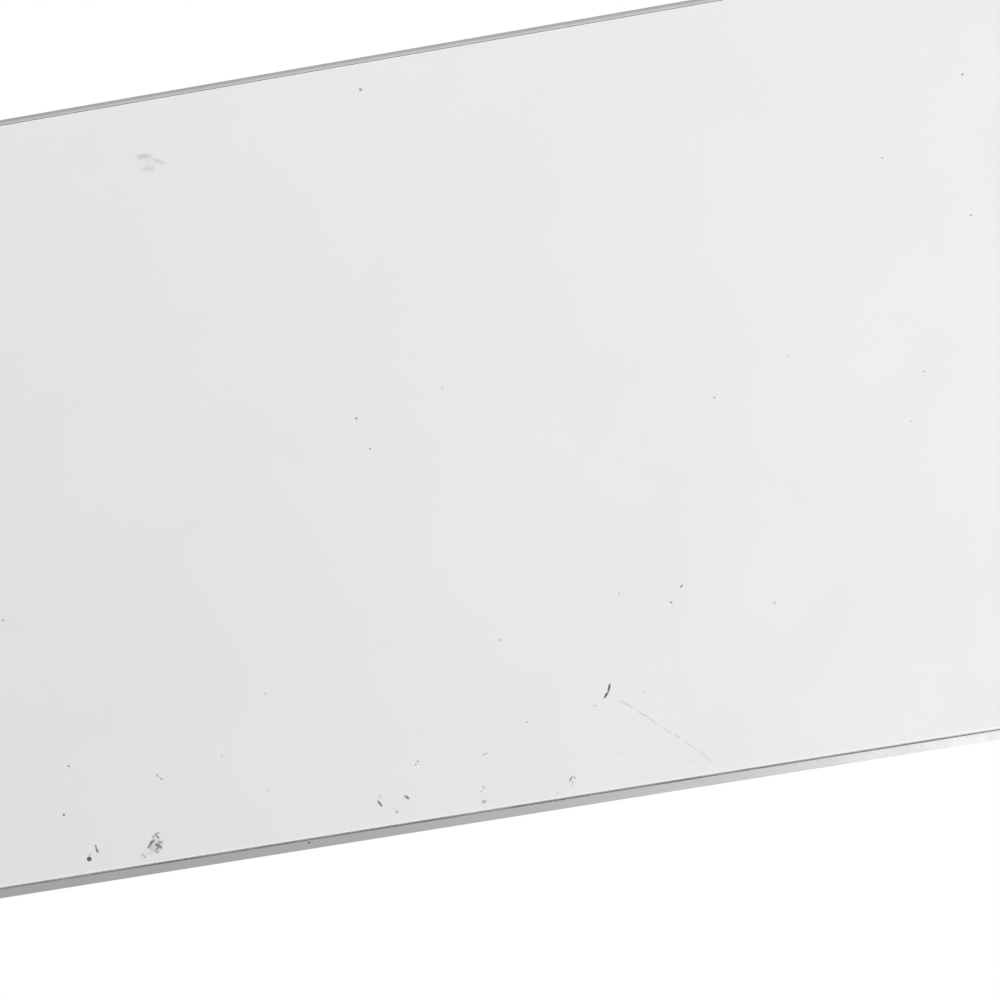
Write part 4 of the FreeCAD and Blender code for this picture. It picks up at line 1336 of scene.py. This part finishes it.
@dataclass
class RearControls:
    """The charging socket and the sliding power switch in the rear wall. Sizes are in millimetres."""

    shop: Workshop
    housing: Housing
    shell: Triple = (9.0, 3.0, 8.2)
    shell_corner: float = 1.49
    shell_wall: float = 0.43
    lip_edge: float = 0.12
    mouth: float = 6.5
    contact: Triple = (5.2, 0.7, 2.8)
    contact_low: float = 1.6
    contact_edge: float = 0.05
    set_back: float = 0.25
    half_travel: float = 1.1
    wall_gap: float = 0.15
    knob: Pair = (4.6, 2.4)
    knob_edge: float = 0.15
    knob_set_back: float = 0.35
    rib: Triple = (0.32, 0.28, 1.6)
    rib_edge: float = 0.06
    rib_pitch: float = 0.8
    rib_set_back: float = 0.22
    flange: Triple = (10.3, 0.48, 3.7)
    flange_gap: float = 0.02
    tongue: Triple = (1.6, 2.0, 1.2)
    tongue_gap: float = 0.4
    patch: Triple = (2.5, 0.1, 2.6)
    patch_shift: float = 3.65

    def build(self) -> None:
        """Makes the socket with its contact block, and the slider."""
        self.shop.piece("inlet_shell", self.socket(), (SOCKET, CONTACT), "housing", ["charging_socket"])
        self.shop.piece("power_slider", self.slider(), (KNOB, ON_PATCH), "power_switch",
                        ["power_switch_slider"])

    def socket(self) -> BMesh:
        """A drawn shell with a soft lip, a mouth and a dark contact block deep inside.

        Returns:
            The socket's mesh.
        """
        width, height, length = self.shell
        bm = rounded_slab(width, height, 0.0, length, self.shell_corner, segments=8)
        soften(bm, 1, self.lip_edge, segments=2)
        lip = flat_face(bm, 1)
        inset(bm, lip, self.shell_wall)
        raise_face(bm, lip, -self.mouth)
        across, high, deep = self.contact
        block = bar(-across / 2, across / 2, -high / 2, high / 2, self.contact_low, self.contact_low + deep,
                    self.contact_edge)
        merge(bm, block, material=1)
        inner = self.housing.depth / 2 - self.set_back - length
        place = Matrix.Translation((0.0, inner, self.housing.socket_level))
        move(bm, place @ Matrix.Rotation(-math.pi / 2, 4, "X"))
        return bm

    def slider(self) -> BMesh:
        """A knob with grip ribs on a flange, whose green patch shows when it is switched on.

        Returns:
            The slider's mesh.
        """
        home = self.housing
        rear = home.depth / 2
        x = home.switch_x - self.half_travel
        inside = rear - home.wall - self.wall_gap
        face = rear - self.knob_set_back
        width, height = self.knob
        depth = face - inside + self.flange_gap + self.flange[1]
        bm = self.block(x, face, (width, depth, height), self.knob_edge)
        for step in (-1.5, -0.5, 0.5, 1.5):
            rib = self.block(x + step * self.rib_pitch, rear - self.rib_set_back, self.rib, self.rib_edge)
            merge(bm, rib)
        merge(bm, self.block(x, inside - self.flange_gap, self.flange))
        merge(bm, self.block(x, inside - self.tongue_gap, self.tongue))
        merge(bm, self.block(x - self.patch_shift, inside, self.patch), material=1)
        return bm

    def block(self, x: float, rear: float, size: Triple, edge: float = 0.0) -> BMesh:
        """A block at the level of the switch.

        Args:
            x: Its middle from left to right.
            rear: Where its rear face lies.
            size: Its width, depth and height.
            edge: The radius of its edges.

        Returns:
            A new closed mesh.
        """
        width, depth, height = size
        z = self.housing.socket_level
        return bar(x - width / 2, x + width / 2, rear - depth, rear, z - height / 2, z + height / 2, edge)


class Interior:
    """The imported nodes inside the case, which keep their shapes."""

    finishes: dict[str, Finish] = {
        "cover_adhesive": FOAM, "support_plate": PLATE, "switch_membrane": FILM, "membrane_ribbon": FILM,
        "stabiliser_bars": WIRE, "screws": WIRE, "battery_cells": BATTERY, "battery_lead": LEAD,
        "logic_board": BOARD, "board_chips": CHIP, "power_switch_body": SWITCH}

    def __init__(self, shop: Workshop) -> None:
        """Keeps the workshop."""
        self.shop = shop

    def build(self) -> None:
        """Dresses each node in its own finish."""
        for node, finish in self.finishes.items():
            self.shop.dress(node, finish)


# The studio


@dataclass
class Camera:
    """The photograph's view of the underside, close and from below. Sizes are in millimetres."""

    eye: Triple = (-55.310, -10.762, -287.550)
    forward: Triple = (0.036164, 0.0, 1.0)
    roll: float = -9.3859
    lens: float = 70.0
    sensor: float = 36.0
    nearest: float = 10.0

    def build(self) -> None:
        """Makes the camera and looks through it."""
        data = bpy.data.cameras.new("photo_view")
        data.lens = self.lens
        data.sensor_width = self.sensor
        data.clip_start = self.nearest * MM
        holder = hang("photo_view", data)
        forward = Vector(self.forward).normalized()
        right = forward.cross(Vector((0.0, 1.0, 0.0))).normalized()
        turn = Matrix.Rotation(math.radians(-self.roll), 3, forward)
        right = turn @ right
        up = right.cross(forward)
        axes = Matrix((right, up, -forward)).transposed().to_4x4()
        holder.matrix_world = Matrix.Translation(Vector(self.eye) * MM) @ axes
        bpy.context.scene.camera = holder


@dataclass(frozen=True)
class Softbox:
    """A soft lamp: where it stands, where it aims, its side and its power in watts."""

    name: str
    place: Triple
    aim: Triple
    side: float
    power: float

    def build(self) -> None:
        """Hangs the lamp, hidden from the camera."""
        data = bpy.data.lights.new(self.name, "AREA")
        data.shape = "SQUARE"
        data.size = self.side
        data.energy = self.power
        holder = hang(self.name, data)
        holder.location = self.place
        holder.rotation_euler = (Vector(self.aim) - Vector(self.place)).to_track_quat("-Z", "Y").to_euler()
        holder.visible_camera = False


@dataclass(frozen=True)
class Studio:
    """A pale floor that shows only from above, soft lamps over and under it, and a white world."""

    ambient: float = 0.44
    floor_half: float = 2.5
    floor_scale: float = 3.0
    floor_tones: tuple[Colour, Colour] = ((0.86, 0.86, 0.86), (0.9, 0.9, 0.9))
    haze_tones: tuple[Colour, Colour] = ((0.8, 0.8, 0.8), (1.0, 1.0, 1.0))
    haze_span: Pair = (0.5, 2.4)
    fade_span: Pair = (0.35, 1.3)
    lamps: tuple[Softbox, ...] = (
        Softbox("under_front", (-0.33, -0.14, -0.5), (-0.13, -0.03, 0.0), 0.2, 1.45),
        Softbox("under_rear", (0.0, 0.6, -0.45), (-0.02, 0.0, 0.0), 0.5, 2.4),
        Softbox("over_left", (-0.5, -0.5, 0.9), (0.0, 0.0, 0.0), 0.7, 6.5),
        Softbox("over_rear", (0.5, 0.7, 0.8), (0.0, 0.0, 0.0), 0.6, 2.6),
    )

    def build(self) -> None:
        """Sets up the view, the world, the lamps and the floor."""
        bpy.context.scene.view_settings.view_transform = "Standard"
        self.world()
        for lamp in self.lamps:
            lamp.build()
        self.floor()

    def world(self) -> None:
        """White to the camera and in reflections, and a plain soft light to everything else."""
        world = bpy.data.worlds.new("studio_white")
        bpy.context.scene.world = world
        graph = empty_graph(world)
        path = graph.add("LightPath").outputs
        seen = graph.math("MAXIMUM", path["Is Camera Ray"],
                          graph.math("MAXIMUM", path["Is Glossy Ray"], path["Is Transmission Ray"]))
        strength = graph.add("MapRange", {"Value": seen, "To Min": self.ambient, "To Max": 1.0}).outputs[0]
        light = graph.add("Background", {"Color": (1.0, 1.0, 1.0, 1.0), "Strength": strength})
        graph.add("OutputWorld", {0: light.outputs[0]})

    def floor(self) -> None:
        """The desk: pale, seen only from above, clear to the lamps, and white where it is far away."""
        bm = bmesh.new()
        bmesh.ops.create_grid(bm, x_segments=1, y_segments=1, size=self.floor_half)
        floor = hang("pale_floor", mesh_of("pale_floor", bm))
        material = bpy.data.materials.new("pale_floor")
        graph = empty_graph(material)
        path = graph.add("LightPath").outputs
        behind = graph.add("NewGeometry").outputs["Backfacing"]
        shown = graph.math("MULTIPLY", path["Is Camera Ray"], graph.math("SUBTRACT", 1.0, behind))
        place = graph.add("TexCoord").outputs["Object"]
        patches = graph.noise(place, self.floor_scale, Detail=2.0)
        pale = graph.add("BsdfDiffuse", {"Color": graph.mix(patches, *self.floor_tones)})
        away = graph.add("VectorMath", {0: place}, operation="LENGTH").outputs["Value"]
        tone = graph.mix(graph.remap(away, *self.haze_span), *self.haze_tones)
        haze = graph.add("Emission", {"Color": tone})
        fade = graph.remap(away, *self.fade_span)
        desk = graph.add("MixShader", {0: fade, 1: pale.outputs[0], 2: haze.outputs[0]})
        clear = graph.add("BsdfTransparent")
        mixed = graph.add("MixShader", {0: shown, 1: clear.outputs[0], 2: desk.outputs[0]})
        graph.add("OutputMaterial", {0: mixed.outputs[0]})
        floor.data.materials.append(material)


def main() -> None:
    """Builds the camera, the studio and every piece."""
    logging.basicConfig(level=logging.INFO, format="%(message)s")
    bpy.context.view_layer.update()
    Camera().build()
    Studio().build()
    shop = Workshop()
    plane = KeyPlane(math.asin(next(j for j in frame["joints"] if j["name"] == "key_a_press")["axis"][1]))
    layout = KeyField()
    housing = Housing(shop, plane, layout)
    housing.build()
    KeySet(shop, plane, layout).build()
    RearControls(shop, housing).build()
    Interior(shop).build()


if __name__ == "__main__":
    main()
